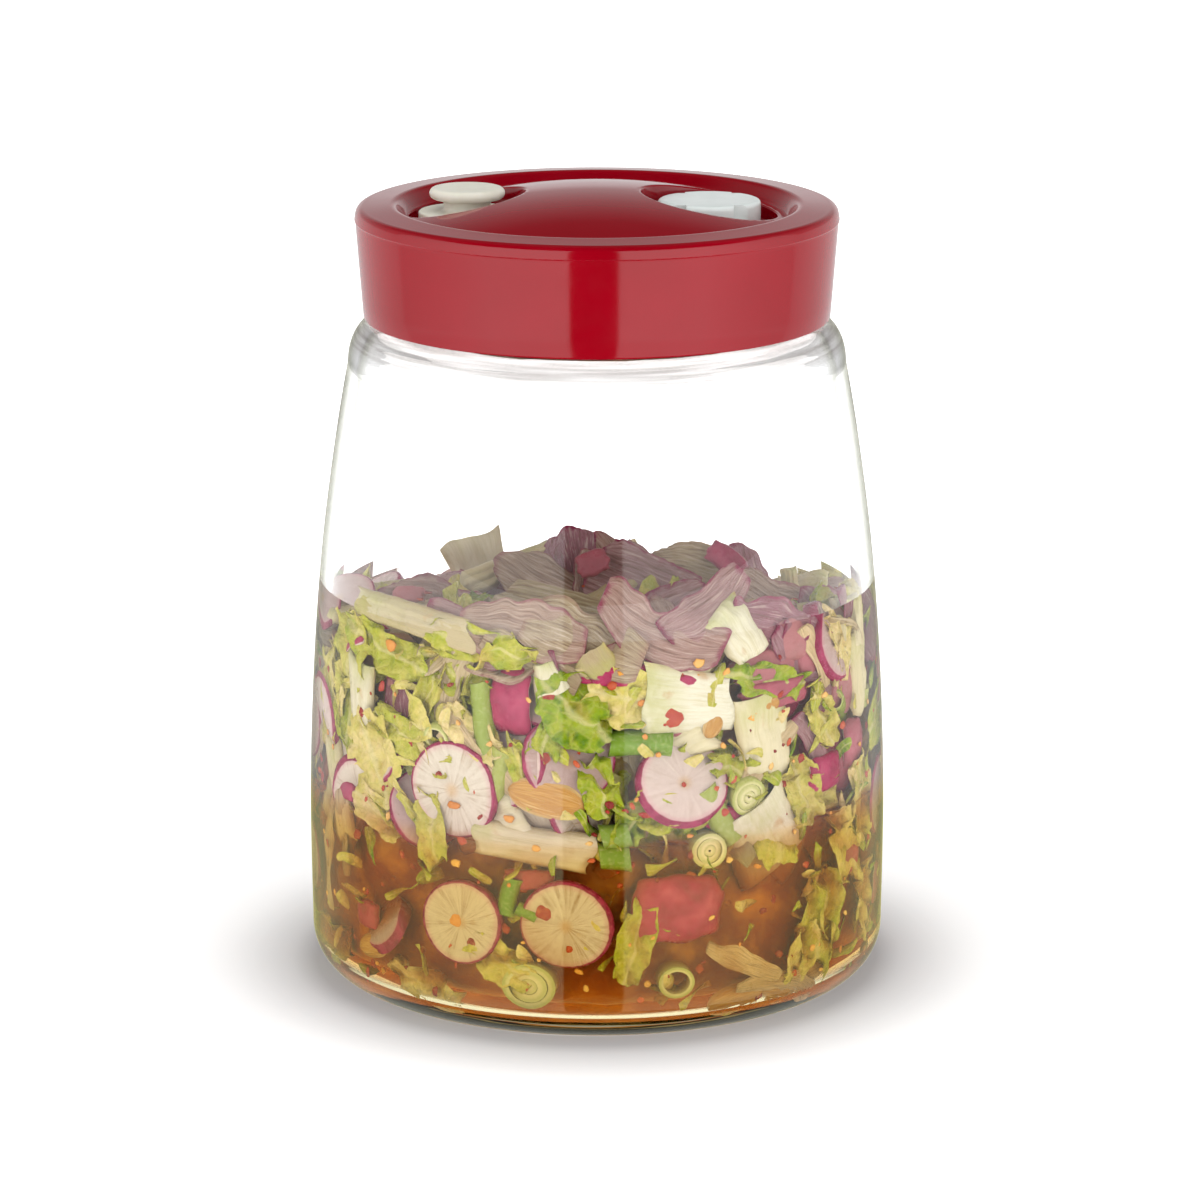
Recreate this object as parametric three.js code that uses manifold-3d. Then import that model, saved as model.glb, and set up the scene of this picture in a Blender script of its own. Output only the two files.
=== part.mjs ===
// Fermentation jar: a tapering glass jar with a red screw lid. The domed lid has two round
// wells, one with a press button and one with a valve cap. Cut radish, cabbage and scallion
// lie heaped in the jar. Millimetres, +Z up, origin at the centre of the foot.
import * as THREE from 'three';
import { mergeVertices } from 'three/addons/utils/BufferGeometryUtils.js';
import Module from 'manifold-3d';

const wasm = await Module();
wasm.setup();

const GAP = 0.3;
const FINE_TURN = 48;
const SMALL_TURN = 28;
const SLICE_SIDES = 10;

// Glass
const WALL = 3.0;
const BASE_THICKNESS = 4.6;
const FOOT_RADIUS = 60;
const FOOT_RING_WIDTH = 7;
const PUSH_UP = 1.4;
const BELLY_RADIUS = 68.5;
const HEEL_TOP = 10;
const NECK_RADIUS = 51.2;
const NECK_WALL = 2.8;
const SHOULDER_RADIUS = 58.3;
const SHOULDER_START = 146;
const SHOULDER_TOP = 156.1;
const RIM_ROUNDING = 0.9;

// Lid
const LID_BOTTOM = 156.5;
const LID_BOTTOM_RADIUS = 54.5;
const LID_BORE = 51.7;
const LID_PLATE_UNDERSIDE = 174.6;
const STEP_HEIGHT = 179.2;
const STEP_RADIUS = 56.2;
const STEP_DEPTH = 0.2;
const BAND_OUTER_RADIUS = 54.8;
const BAND_OUTER_HEIGHT = 182.3;
const BAND_INNER_RADIUS = 47.4;
const BAND_INNER_HEIGHT = 182.9;
const MOAT_RADIUS = 44.2;
const DOME_TOP = 186.5;
const DOME_SPHERE = 147;
const DOME_RINGS = 6;

// Wells, button and valve cap
const WELL_FLOOR = 177.2;
const BUTTON_WELL = { x: -30.2, y: 2.0, radius: 13.6 };
const VALVE_WELL = { x: 26.0, y: -2.0, radius: 15.8 };
const BUTTON_TOP = 186.1;
const BUTTON_HEAD_RADIUS = 8.8;
const BUTTON_HEAD_THICKNESS = 2.6;
const BUTTON_STEM_RADIUS = 5.5;
const BUTTON_FLANGE_RADIUS = 11.4;
const BUTTON_FLANGE_TOP = 180.7;
const VALVE_TOP = 184.0;
const VALVE_RADIUS = 12.0;
const VALVE_NOTCH_WIDTH = 3.6;
const VALVE_NOTCH_DEPTH = 3.6;
const VALVE_NOTCH_HEIGHT = 3.4;
const VALVE_NOTCH_ANGLE = 37;

// Pickles
const CORE_DEPTH = 4.5;
const HEAP_EDGE_TOP = 88;
const HEAP_CROWN = 95;
const SLICE_RADIUS = 10.2;
const SLICE_THICKNESS = 3.6;
const STEM_LENGTH = 30;
const STEM_WIDTH = 15;
const STEM_THICKNESS = 4;
const RING_RADIUS = 4.6;
const RING_BORE = 2.9;
const RING_LENGTH = 6;
const LEAF_LENGTH = 34;
const LEAF_WIDTH = 20;
const LEAF_THICKNESS = 1.6;

function point(radius, height) {
  return new THREE.Vector2(radius, height);
}

// Points along an arc from one end to the other, leaving out the first.
function arc(centre, radiusX, radiusY, from, to, steps) {
  const points = [];
  for (let step = 1; step <= steps; step += 1) {
    const turn = THREE.MathUtils.degToRad(from + ((to - from) * step) / steps);
    points.push(point(centre.x + radiusX * Math.cos(turn), centre.y + radiusY * Math.sin(turn)));
  }
  return points;
}

function turned(profile, segments) {
  const geometry = new THREE.LatheGeometry(profile, segments);
  geometry.rotateX(Math.PI / 2);
  return geometry;
}

function signedVolume(position, corners) {
  const a = new THREE.Vector3();
  const b = new THREE.Vector3();
  const c = new THREE.Vector3();
  let sum = 0;
  for (let i = 0; i < corners.length; i += 3) {
    a.fromBufferAttribute(position, corners[i]);
    b.fromBufferAttribute(position, corners[i + 1]);
    c.fromBufferAttribute(position, corners[i + 2]);
    sum += a.dot(b.cross(c));
  }
  return sum / 6;
}

// A closed geometry as a solid that can be joined and cut, with its faces pointing out.
function solidOf(geometry) {
  const bare = geometry.clone();
  bare.deleteAttribute('normal');
  bare.deleteAttribute('uv');
  const merged = mergeVertices(bare, 1e-3);
  const corners = [];
  for (let i = 0; i < merged.index.count; i += 3) {
    const [a, b, c] = [0, 1, 2].map((k) => merged.index.getX(i + k));
    if (a !== b && b !== c && c !== a) corners.push(a, b, c);
  }
  if (signedVolume(merged.attributes.position, corners) < 0) corners.reverse();
  return new wasm.Manifold(new wasm.Mesh({
    numProp: 3,
    vertProperties: new Float32Array(merged.attributes.position.array),
    triVerts: new Uint32Array(corners),
  }));
}

// The biggest of the separate bodies in a solid: any scrap cut loose is dropped.
function largestOf(solid) {
  return solid.decompose().sort((a, b) => b.volume() - a.volume())[0];
}

function geometryOf(solid) {
  const mesh = solid.getMesh();
  const geometry = new THREE.BufferGeometry();
  geometry.setAttribute('position', new THREE.BufferAttribute(mesh.vertProperties, 3));
  geometry.setIndex(new THREE.BufferAttribute(mesh.triVerts, 1));
  geometry.computeVertexNormals();
  return geometry;
}

function named(name, geometry, material) {
  const mesh = new THREE.Mesh(geometry, material);
  mesh.name = name;
  return mesh;
}

// The outer wall from the heel to the shoulder: a slow swell, then a taper.
const wallLine = new THREE.SplineCurve([
  point(BELLY_RADIUS - 0.2, HEEL_TOP),
  point(BELLY_RADIUS, 42),
  point(67.3, 73),
  point(64.9, 102),
  point(61.4, 128),
  point(SHOULDER_RADIUS, SHOULDER_START),
]);

function outerWallRadius(height) {
  const samples = wallLine.getPoints(60);
  for (let i = 1; i < samples.length; i += 1) {
    if (samples[i].y >= height) {
      const share = (height - samples[i - 1].y) / (samples[i].y - samples[i - 1].y);
      return THREE.MathUtils.lerp(samples[i - 1].x, samples[i].x, Math.max(share, 0));
    }
  }
  return SHOULDER_RADIUS;
}

function outerGlassLine() {
  const heelWidth = BELLY_RADIUS - 0.2 - FOOT_RADIUS;
  const line = [point(0, PUSH_UP), point((FOOT_RADIUS - FOOT_RING_WIDTH) * 0.5, PUSH_UP * 0.85)];
  line.push(point(FOOT_RADIUS - FOOT_RING_WIDTH, 0), point(FOOT_RADIUS, 0));
  line.push(...arc(point(FOOT_RADIUS, HEEL_TOP), heelWidth, HEEL_TOP, -90, 0, 5));
  line.push(...wallLine.getPoints(8).slice(1));
  const shoulderWidth = SHOULDER_RADIUS - NECK_RADIUS;
  const shoulderHeight = SHOULDER_TOP - SHOULDER_START;
  const centre = point(NECK_RADIUS, SHOULDER_START);
  const corner = arc(centre, shoulderWidth, shoulderHeight, 0, 90, 7).slice(0, 6);
  line.push(...corner, point(NECK_RADIUS, SHOULDER_TOP));
  return line;
}

function innerGlassLine(inset) {
  const floorHeight = BASE_THICKNESS + inset;
  const wallRadius = (height) => outerWallRadius(height) - WALL - inset;
  const corner = 9;
  const centre = point(wallRadius(floorHeight + corner) - corner, floorHeight + corner);
  const line = [point(0, floorHeight), point(centre.x, floorHeight)];
  line.push(...arc(centre, corner, corner, -90, 0, 4));
  for (const height of [32, 52, 72, 90, 108, 127, SHOULDER_START - 2]) {
    line.push(point(wallRadius(height), height));
  }
  return line;
}

function glassJar() {
  const rimTop = LID_PLATE_UNDERSIDE - GAP;
  const boreRadius = NECK_RADIUS - NECK_WALL;
  const outside = outerGlassLine();
  outside.push(point(NECK_RADIUS, rimTop - RIM_ROUNDING), point(NECK_RADIUS - RIM_ROUNDING, rimTop));
  const inside = innerGlassLine(0);
  inside.push(point(boreRadius + 4.5, SHOULDER_TOP - 6.4), point(boreRadius + 1.6, SHOULDER_TOP - 3.4));
  inside.push(point(boreRadius, SHOULDER_TOP - 0.6));
  inside.push(point(boreRadius, rimTop - RIM_ROUNDING), point(boreRadius + RIM_ROUNDING, rimTop));
  const glass = new THREE.MeshStandardMaterial({ color: 0xdfe6e2, roughness: 0.05, metalness: 0 });
  glass.transparent = true;
  glass.opacity = 0.35;
  return named('glass_jar', turned([...outside, ...inside.reverse()], FINE_TURN), glass);
}

function domeHeight(radius) {
  return DOME_TOP - DOME_SPHERE + Math.sqrt(DOME_SPHERE ** 2 - radius ** 2);
}

// The cap's outside from the skirt's foot, over the flat band and the moat, to the dome's top.
function lidTopLine() {
  const line = [point(LID_BOTTOM_RADIUS, LID_BOTTOM), point(STEP_RADIUS, STEP_HEIGHT)];
  line.push(point(STEP_RADIUS + STEP_DEPTH, STEP_HEIGHT + STEP_DEPTH));
  line.push(point(STEP_RADIUS - 0.1, 181.1), point(BAND_OUTER_RADIUS + 0.8, 181.9));
  line.push(point(BAND_OUTER_RADIUS, BAND_OUTER_HEIGHT), point(BAND_INNER_RADIUS, BAND_INNER_HEIGHT));
  line.push(point(BAND_INNER_RADIUS - 0.9, BAND_INNER_HEIGHT - 0.6));
  line.push(point(MOAT_RADIUS + 0.9, domeHeight(MOAT_RADIUS) + 0.6));
  for (let ring = DOME_RINGS; ring >= 0; ring -= 1) {
    const radius = (MOAT_RADIUS * ring) / DOME_RINGS;
    line.push(point(radius, domeHeight(radius)));
  }
  return line;
}

function well(place) {
  const height = DOME_TOP + 5 - WELL_FLOOR;
  const cutter = new THREE.CylinderGeometry(place.radius, place.radius, height, SMALL_TURN);
  cutter.rotateX(Math.PI / 2);
  cutter.translate(place.x, place.y, WELL_FLOOR + height / 2);
  return solidOf(cutter);
}

function lidCap() {
  const line = [point(0, LID_PLATE_UNDERSIDE), point(LID_BORE, LID_PLATE_UNDERSIDE)];
  line.push(point(LID_BORE, LID_BOTTOM), ...lidTopLine());
  const cap = solidOf(turned(line, FINE_TURN)).subtract(well(BUTTON_WELL)).subtract(well(VALVE_WELL));
  const red = new THREE.MeshStandardMaterial({ color: 0xa8071c, roughness: 0.18, metalness: 0 });
  return named('lid_cap', geometryOf(cap), red);
}

// A soft mushroom: a wide flange on the well's floor, a stem and a round-edged head.
function ventButton() {
  const headUnderside = BUTTON_TOP - BUTTON_HEAD_THICKNESS;
  const edge = point(BUTTON_HEAD_RADIUS - BUTTON_HEAD_THICKNESS / 2, BUTTON_TOP - BUTTON_HEAD_THICKNESS / 2);
  const line = [point(0, WELL_FLOOR + GAP), point(BUTTON_FLANGE_RADIUS, WELL_FLOOR + GAP)];
  line.push(point(BUTTON_FLANGE_RADIUS, BUTTON_FLANGE_TOP - 0.6));
  line.push(point(BUTTON_FLANGE_RADIUS - 0.6, BUTTON_FLANGE_TOP));
  line.push(point(BUTTON_STEM_RADIUS, BUTTON_FLANGE_TOP), point(BUTTON_STEM_RADIUS, headUnderside));
  line.push(point(edge.x, headUnderside));
  line.push(...arc(edge, BUTTON_HEAD_THICKNESS / 2, BUTTON_HEAD_THICKNESS / 2, -90, 90, 6));
  line.push(point(0, BUTTON_TOP));
  const cream = new THREE.MeshStandardMaterial({ color: 0xe9e4cf, roughness: 0.5, metalness: 0 });
  const button = named('vent_button', turned(line, SMALL_TURN), cream);
  button.position.set(BUTTON_WELL.x, BUTTON_WELL.y, 0);
  return button;
}

// A round cap with four finger notches, two each side of its middle bar.
function valveCap() {
  const line = [point(0, WELL_FLOOR + GAP), point(VALVE_RADIUS, WELL_FLOOR + GAP)];
  line.push(point(VALVE_RADIUS, VALVE_TOP - 0.9), point(VALVE_RADIUS - 0.9, VALVE_TOP), point(0, VALVE_TOP));
  let cap = solidOf(turned(line, SMALL_TURN));
  for (const side of [-90, 90]) {
    for (const turn of [-VALVE_NOTCH_ANGLE, VALVE_NOTCH_ANGLE]) {
      const notch = new THREE.BoxGeometry(VALVE_NOTCH_WIDTH, VALVE_NOTCH_DEPTH * 2, VALVE_NOTCH_HEIGHT * 2);
      const offset = VALVE_RADIUS * Math.sin(THREE.MathUtils.degToRad(turn));
      notch.translate(offset, Math.sign(side) * VALVE_RADIUS, VALVE_TOP);
      cap = cap.subtract(solidOf(notch));
    }
  }
  const white = new THREE.MeshStandardMaterial({ color: 0xdce6e4, roughness: 0.35, metalness: 0 });
  const valve = named('valve_cap', geometryOf(cap), white);
  valve.position.set(VALVE_WELL.x, VALVE_WELL.y, 0);
  return valve;
}

// A repeatable row of numbers from 0 to 1.
function numbersFrom(seed) {
  let state = seed;
  return () => {
    state = (state * 1664525 + 1013904223) % 4294967296;
    return state / 4294967296;
  };
}

function slice(radius) {
  const disc = new THREE.CylinderGeometry(radius, radius * 0.97, SLICE_THICKNESS, SLICE_SIDES);
  return disc.rotateX(Math.PI / 2);
}

// A thick cabbage stem, bowed across its width.
function stem(length, width) {
  const half = width / 2;
  const outline = new THREE.Shape();
  outline.moveTo(-half, 0);
  outline.quadraticCurveTo(0, width * 0.35, half, 0);
  outline.lineTo(half * 0.85, STEM_THICKNESS * 0.8);
  outline.quadraticCurveTo(0, width * 0.35 + STEM_THICKNESS, -half * 0.85, STEM_THICKNESS * 0.8);
  outline.closePath();
  const body = new THREE.ExtrudeGeometry(outline, { depth: length, bevelEnabled: false, curveSegments: 3 });
  return body.translate(0, -STEM_THICKNESS, -length / 2).rotateX(Math.PI / 2);
}

function scallionRing(radius) {
  const bore = (radius * RING_BORE) / RING_RADIUS;
  const half = RING_LENGTH / 2;
  const line = [point(bore, -half), point(radius, -half), point(radius, half), point(bore, half)];
  return turned([...line, line[0].clone()], 9);
}

// A thin wavy leaf: two faces over one grid, closed round the edge.
function leaf(length, width, wave) {
  const across = 4;
  const along = 7;
  const box = new THREE.BoxGeometry(length, width, LEAF_THICKNESS, along, across, 1);
  const position = box.attributes.position;
  for (let i = 0; i < position.count; i += 1) {
    const x = position.getX(i);
    const y = position.getY(i);
    const edge = Math.abs(y) / width;
    const lift = wave * Math.sin(x * 0.55 + y * 0.2) * (0.3 + 2 * edge) + y * y * 0.02;
    position.setZ(i, position.getZ(i) + lift);
  }
  return box;
}

// Turns a piece whose face looks along its own +Z to look out at the glass, at a given
// turn round the jar and height, spun in its plane and leaning back by a few degrees.
function atWall(geometry, turn, height, depth, spin, lean) {
  const radius = outerWallRadius(height) - WALL - depth;
  geometry.rotateZ(THREE.MathUtils.degToRad(spin));
  geometry.rotateX(THREE.MathUtils.degToRad(90 - lean));
  geometry.rotateZ(THREE.MathUtils.degToRad(turn + 90));
  const angle = THREE.MathUtils.degToRad(turn);
  return geometry.translate(radius * Math.cos(angle), radius * Math.sin(angle), height);
}

// The slices, stems, rings and leaves that show best at the front: turn, height, spin, lean.
const FRONT_SLICES = [[-118, 29, 10, 12], [-94, 28, 0, -8], [-119, 60, 20, 30], [-71, 58, 0, -20]];
const FRONT_STEMS = [[-70, 78, 35, 10], [-148, 78, 80, 0], [-50, 44, -25, 10], [-112, 45, 5, 0]];
const FRONT_RINGS = [[-58, 58], [-66, 43], [-73, 14], [-105, 13]];
const FRONT_LEAVES = [[-94, 82, 60, 10], [-84, 50, -40, 0], [-128, 88, 20, 10]];

function wallPieces(random) {
  const pieces = [];
  const between = (low, high) => low + (high - low) * random();
  for (const [turn, height, spin, lean] of FRONT_SLICES) {
    pieces.push(atWall(slice(SLICE_RADIUS), turn, height, 2.2, spin, lean));
  }
  for (const [turn, height, spin, lean] of FRONT_STEMS) {
    pieces.push(atWall(stem(STEM_LENGTH, STEM_WIDTH), turn, height, 4.5, spin, lean));
  }
  for (const [turn, height] of FRONT_RINGS) {
    pieces.push(atWall(scallionRing(RING_RADIUS), turn, height, 2.6, 0, 0));
  }
  for (const [turn, height, spin, lean] of FRONT_LEAVES) {
    pieces.push(atWall(leaf(LEAF_LENGTH, LEAF_WIDTH, 0.9), turn, height, 3, spin, lean));
  }
  for (let row = 0; row < 4; row += 1) {
    const count = 9;
    for (let column = 0; column < count; column += 1) {
      const turn = -30 + ((column + 0.5 * (row % 2)) * 240) / count + between(-6, 6);
      const height = 17 + row * 21 + between(-4, 4);
      const spin = between(0, 180);
      const lean = between(-35, 35);
      const kind = (row + column) % 3;
      if (kind === 0) pieces.push(atWall(stem(between(20, 30), between(11, 16)), turn, height, 4.5, spin, lean));
      if (kind > 0) pieces.push(atWall(slice(between(8.5, 11)), turn, height, 2.4, spin, lean));
    }
  }
  return pieces;
}

// Pieces lying on top, each a little tilted, in two rings and a middle.
function topPieces(random) {
  const pieces = [];
  const between = (low, high) => low + (high - low) * random();
  const rings = [[0, 1, 97], [22, 5, 94], [44, 9, 90]];
  for (const [radius, count, height] of rings) {
    for (let i = 0; i < count; i += 1) {
      const angle = (i / count) * Math.PI * 2 + between(-0.2, 0.2);
      const piece = i % 3 === 1 ? stem(26, 14) : slice(between(9, 11.5));
      piece.rotateX(between(-0.45, 0.45));
      piece.rotateY(between(-0.45, 0.45));
      piece.rotateZ(between(0, Math.PI));
      const reach = radius + between(-2, 2);
      piece.translate(reach * Math.cos(angle), reach * Math.sin(angle), height + between(-2, 2));
      pieces.push(piece);
    }
  }
  return pieces;
}

function pickleHeap() {
  const core = innerGlassLine(CORE_DEPTH).filter((p) => p.y < HEAP_EDGE_TOP - 4);
  const edgeRadius = outerWallRadius(HEAP_EDGE_TOP) - WALL - CORE_DEPTH;
  core.push(point(edgeRadius, HEAP_EDGE_TOP), point(edgeRadius * 0.5, HEAP_CROWN - 2), point(0, HEAP_CROWN));
  const room = innerGlassLine(GAP + 0.15);
  room.push(point(0, room[room.length - 1].y));
  const random = numbersFrom(11);
  let heap = solidOf(turned(core, 24));
  for (const piece of [...wallPieces(random), ...topPieces(random)]) {
    heap = heap.add(solidOf(piece));
  }
  heap = largestOf(heap.intersect(solidOf(turned(room, 36))));
  const pickled = new THREE.MeshStandardMaterial({ color: 0xb8703a, roughness: 0.4, metalness: 0 });
  return named('pickle_heap', geometryOf(heap), pickled);
}

const jar = new THREE.Group();
jar.add(glassJar(), lidCap(), ventButton(), valveCap(), pickleHeap());

export default jar;
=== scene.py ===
"""Looks for the fermentation jar: clear glass, a glossy red lid and cut pickles in orange brine.

Lengths are millimetres until a mesh is made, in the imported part's frame: +Z up the jar's axis,
-Y towards the camera. Azimuths are degrees round the jar from -Y, growing towards +X.
"""

import random
from functools import cached_property
from math import cos, exp, hypot, log1p, pi, radians, sin, sqrt

import bpy
from mathutils import Matrix, Vector, noise


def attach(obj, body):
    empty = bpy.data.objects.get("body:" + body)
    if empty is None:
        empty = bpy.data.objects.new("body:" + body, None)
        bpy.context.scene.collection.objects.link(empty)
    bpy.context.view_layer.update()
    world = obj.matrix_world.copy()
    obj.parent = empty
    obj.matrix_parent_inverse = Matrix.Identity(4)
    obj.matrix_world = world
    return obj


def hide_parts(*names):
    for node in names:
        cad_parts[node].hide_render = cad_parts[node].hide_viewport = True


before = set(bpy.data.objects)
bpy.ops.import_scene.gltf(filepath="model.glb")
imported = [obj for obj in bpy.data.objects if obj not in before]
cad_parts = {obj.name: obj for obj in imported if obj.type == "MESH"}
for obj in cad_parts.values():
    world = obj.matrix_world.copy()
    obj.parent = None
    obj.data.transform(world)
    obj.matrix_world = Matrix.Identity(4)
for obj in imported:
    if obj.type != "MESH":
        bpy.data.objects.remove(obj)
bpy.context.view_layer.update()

MM = 0.001

# Glass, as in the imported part
WALL = 3.0
BASE_THICKNESS = 4.6
FOOT_RADIUS = 60.0
FOOT_RING_WIDTH = 7.0
PUSH_UP = 1.4
HEEL_TOP = 10.0
INNER_CORNER = 9.0
CORNER_HEIGHT = BASE_THICKNESS + INNER_CORNER
WALL_LINE = [(68.3, 10), (68.5, 42), (67.3, 73), (64.9, 102), (61.4, 128), (58.3, 146)]
SHOULDER_RADIUS = 58.3
SHOULDER_START = 146.0
SHOULDER_TOP = 156.1
NECK_RADIUS = 51.2
NECK_BORE = 48.4
RIM_TOP = 174.3
RIM_ROUNDING = 0.9

# Lid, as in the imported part
LID_BOTTOM = 156.5
LID_BOTTOM_RADIUS = 54.5
LID_BORE = 51.7
LID_PLATE_UNDERSIDE = 174.6
STEP_HEIGHT = 179.2
STEP_RADIUS = 56.2
MOAT_RADIUS = 44.2
DOME_TOP = 186.5
DOME_SPHERE = 147.0
WELL_FLOOR = 177.2
WELL_ROUNDING = 0.6
BUTTON_WELL = (-30.2, 2.0, 13.6)
VALVE_WELL = (26.0, -2.0, 15.8)
LIP = 0.5
BUTTON_TOP = 186.1
BUTTON_FLANGE_TOP = 180.7
VALVE_TOP = 184.0
VALVE_RADIUS = 12.0
VALVE_NOTCH_SIZE = (3.6, 7.2, 6.8)
VALVE_NOTCH_ANGLE = 37.0
GAP = 0.3

# Brine and pickles
BRINE_LEVEL = 46.5
WET_TO = 94.0
WET_TO_BACK = 82.0
# Height where the neck's waves and its painted grey reflection lines begin
NECK_STREAKS_FROM = 150.5
INTO_WALL = 0.2
CORE_DEPTH = 8.0
CORE_FOOT = BASE_THICKNESS + 0.2
CORE_TOP = 86.0
CLEAR_DEPTH = 2.7
SURFACE_BLUR = 2
HEAP_HEIGHT = 85.5
HEAP_FALL = 12
HEAP_REACH = 60
FRONT_AZIMUTH = 74
HIGH_AZIMUTH = 50
RADISH_RADIUS = 13
STALK_WALL = 0.8
SQUEEZE = 0.08
FAR_OVER = 30
ON_GLASS = 0.07
CRUMB_ON_GLASS = 0.06
BUBBLE_COUNT = 46
BRINE_COLOUR = (0.29, 0.070, 0.004)
WHITE = (1, 1, 1, 1)
GLASS_IOR = 1.5
BRINE_IOR = 1.33
FOOD_IOR = 1.4

# Studio
CARD_GLOW = 1.9
TOP_GLOW = 1.3
BACKDROP = 1.15

# Camera: the photograph's view, for a square frame
LENS = 144.0
CAMERA_PLACE = (0.0007, -1.1034, 0.3685)
CAMERA_PITCH = 14.286

rand = random.Random(5)
uniform = rand.uniform


def catmull(a, b, c, d, t):
    start, end = (c - a) * 0.5, (d - b) * 0.5
    cubic = (2 * b - 2 * c + start + end) * t ** 3
    square = (3 * c - 3 * b - 2 * start - end) * t ** 2
    return cubic + square + start * t + b


def spline(points, steps):
    """A smooth line through the points, with this many steps in all."""
    line = []
    last = len(points) - 1
    for step in range(steps + 1):
        place = last * step / steps
        i = min(int(place), last - 1)
        near = [points[max(i - 1, 0)], points[i], points[i + 1], points[min(i + 2, last)]]
        line.append(tuple(catmull(*(p[k] for p in near), place - i) for k in range(2)))
    return line


def arc(centre, radius_x, radius_y, start, end, steps):
    """Points along an arc, leaving out its first."""
    turns = [radians(start + (end - start) * step / steps) for step in range(1, steps + 1)]
    return [(centre[0] + radius_x * cos(turn), centre[1] + radius_y * sin(turn)) for turn in turns]


def around(count):
    """The cosine and sine of this many even turns round a circle."""
    return [(cos(2 * pi * i / count), sin(2 * pi * i / count)) for i in range(count)]


def rough(x, y, z):
    return noise.noise(Vector((x, y, z)))


OUTER_WALL = spline(WALL_LINE, 60)


def outer_radius(height):
    for (r0, z0), (r1, z1) in zip(OUTER_WALL, OUTER_WALL[1:]):
        if height <= z1:
            return r0 + (r1 - r0) * max(height - z0, 0) / (z1 - z0)
    return SHOULDER_RADIUS


def inner_at(height):
    """The inside radius at a height, with the round corner at the floor."""
    if height >= CORNER_HEIGHT:
        return outer_radius(height) - WALL
    drop = min(CORNER_HEIGHT - height, INNER_CORNER)
    return outer_radius(CORNER_HEIGHT) - WALL - INNER_CORNER + sqrt(INNER_CORNER ** 2 - drop ** 2)


INNER_TABLE = [inner_at(height) for height in range(150)]


def inner_radius(height):
    """The inside radius, read between whole millimetres."""
    height = min(max(height, 0), len(INNER_TABLE) - 2)
    low = int(height)
    return INNER_TABLE[low] + (INNER_TABLE[low + 1] - INNER_TABLE[low]) * (height - low)


CORNER_RADIUS = inner_radius(CORNER_HEIGHT) - INNER_CORNER


def dome_height(radius):
    return DOME_TOP - DOME_SPHERE + sqrt(max(DOME_SPHERE ** 2 - radius ** 2, 0))


# Mesh making

class Shape:
    """Points with their values, and the faces between them."""

    def __init__(self):
        self.points, self.values, self.faces = [], [], []

    def add(self, point, *values):
        """Adds a point and gives its number. Its values say how far across, along and outside it is."""
        self.points.append(point)
        self.values.append(values)
        return len(self.points) - 1

    def bridge(self, rows, flip=False, closed=True):
        """Joins each row of points to the next. A row of one point is a tip."""
        for first, second in zip(rows, rows[1:]):
            if flip:
                first, second = second, first
            count = max(len(first), len(second))
            first, second = (row * count if len(row) == 1 else row for row in (first, second))
            for i in range(count if closed else count - 1):
                j = (i + 1) % count
                corners = (first[i], first[j], second[j], second[i])
                self.faces.append([c for k, c in enumerate(corners) if c != corners[k - 1]])

    def build(self, name, material=None, sharp=None):
        """A mesh object of the shape, smooth except at edges sharper than the angle."""
        mesh = bpy.data.meshes.new(name)
        mesh.from_pydata([(x * MM, y * MM, z * MM) for x, y, z in self.points], [], self.faces)
        mesh.update()
        mesh.shade_smooth()
        if sharp is not None:
            mesh.set_sharp_from_angle(angle=radians(sharp))
        if material:
            mesh.materials.append(material)
        made = bpy.data.objects.new(name, mesh)
        bpy.context.scene.collection.objects.link(made)
        return made


def lathe(name, profile, segments, material=None, sharp=40, place=(0, 0)):
    """Turns a profile of (radius, height) about an upright axis. Radius 0 makes a tip."""
    shape = Shape()
    rows = []
    for radius, height in profile:
        turns = around(segments) if radius > 0 else [(0, 0)]
        rows.append([shape.add((place[0] + radius * x, place[1] + radius * y, height)) for x, y in turns])
    shape.bridge(rows)
    return shape.build(name, material, sharp)


def applied(made):
    """Works the object's modifiers into its mesh."""
    graph = bpy.context.evaluated_depsgraph_get()
    mesh = bpy.data.meshes.new_from_object(made.evaluated_get(graph))
    made.modifiers.clear()
    made.data = mesh


def cut(made, cutters):
    for cutter in cutters:
        modifier = made.modifiers.new("cut", "BOOLEAN")
        modifier.operation = "DIFFERENCE"
        modifier.solver = "EXACT"
        modifier.object = cutter
    applied(made)
    for cutter in cutters:
        bpy.data.objects.remove(cutter)


def finished(made, material, sharp):
    """Gives a cut object its smooth shading and its one material."""
    made.data.shade_smooth()
    made.data.set_sharp_from_angle(angle=radians(sharp))
    made.data.materials.clear()
    made.data.materials.append(material)
    return made


def body_piece(piece, node):
    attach(piece, "root")
    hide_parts(node)


# Materials

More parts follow.
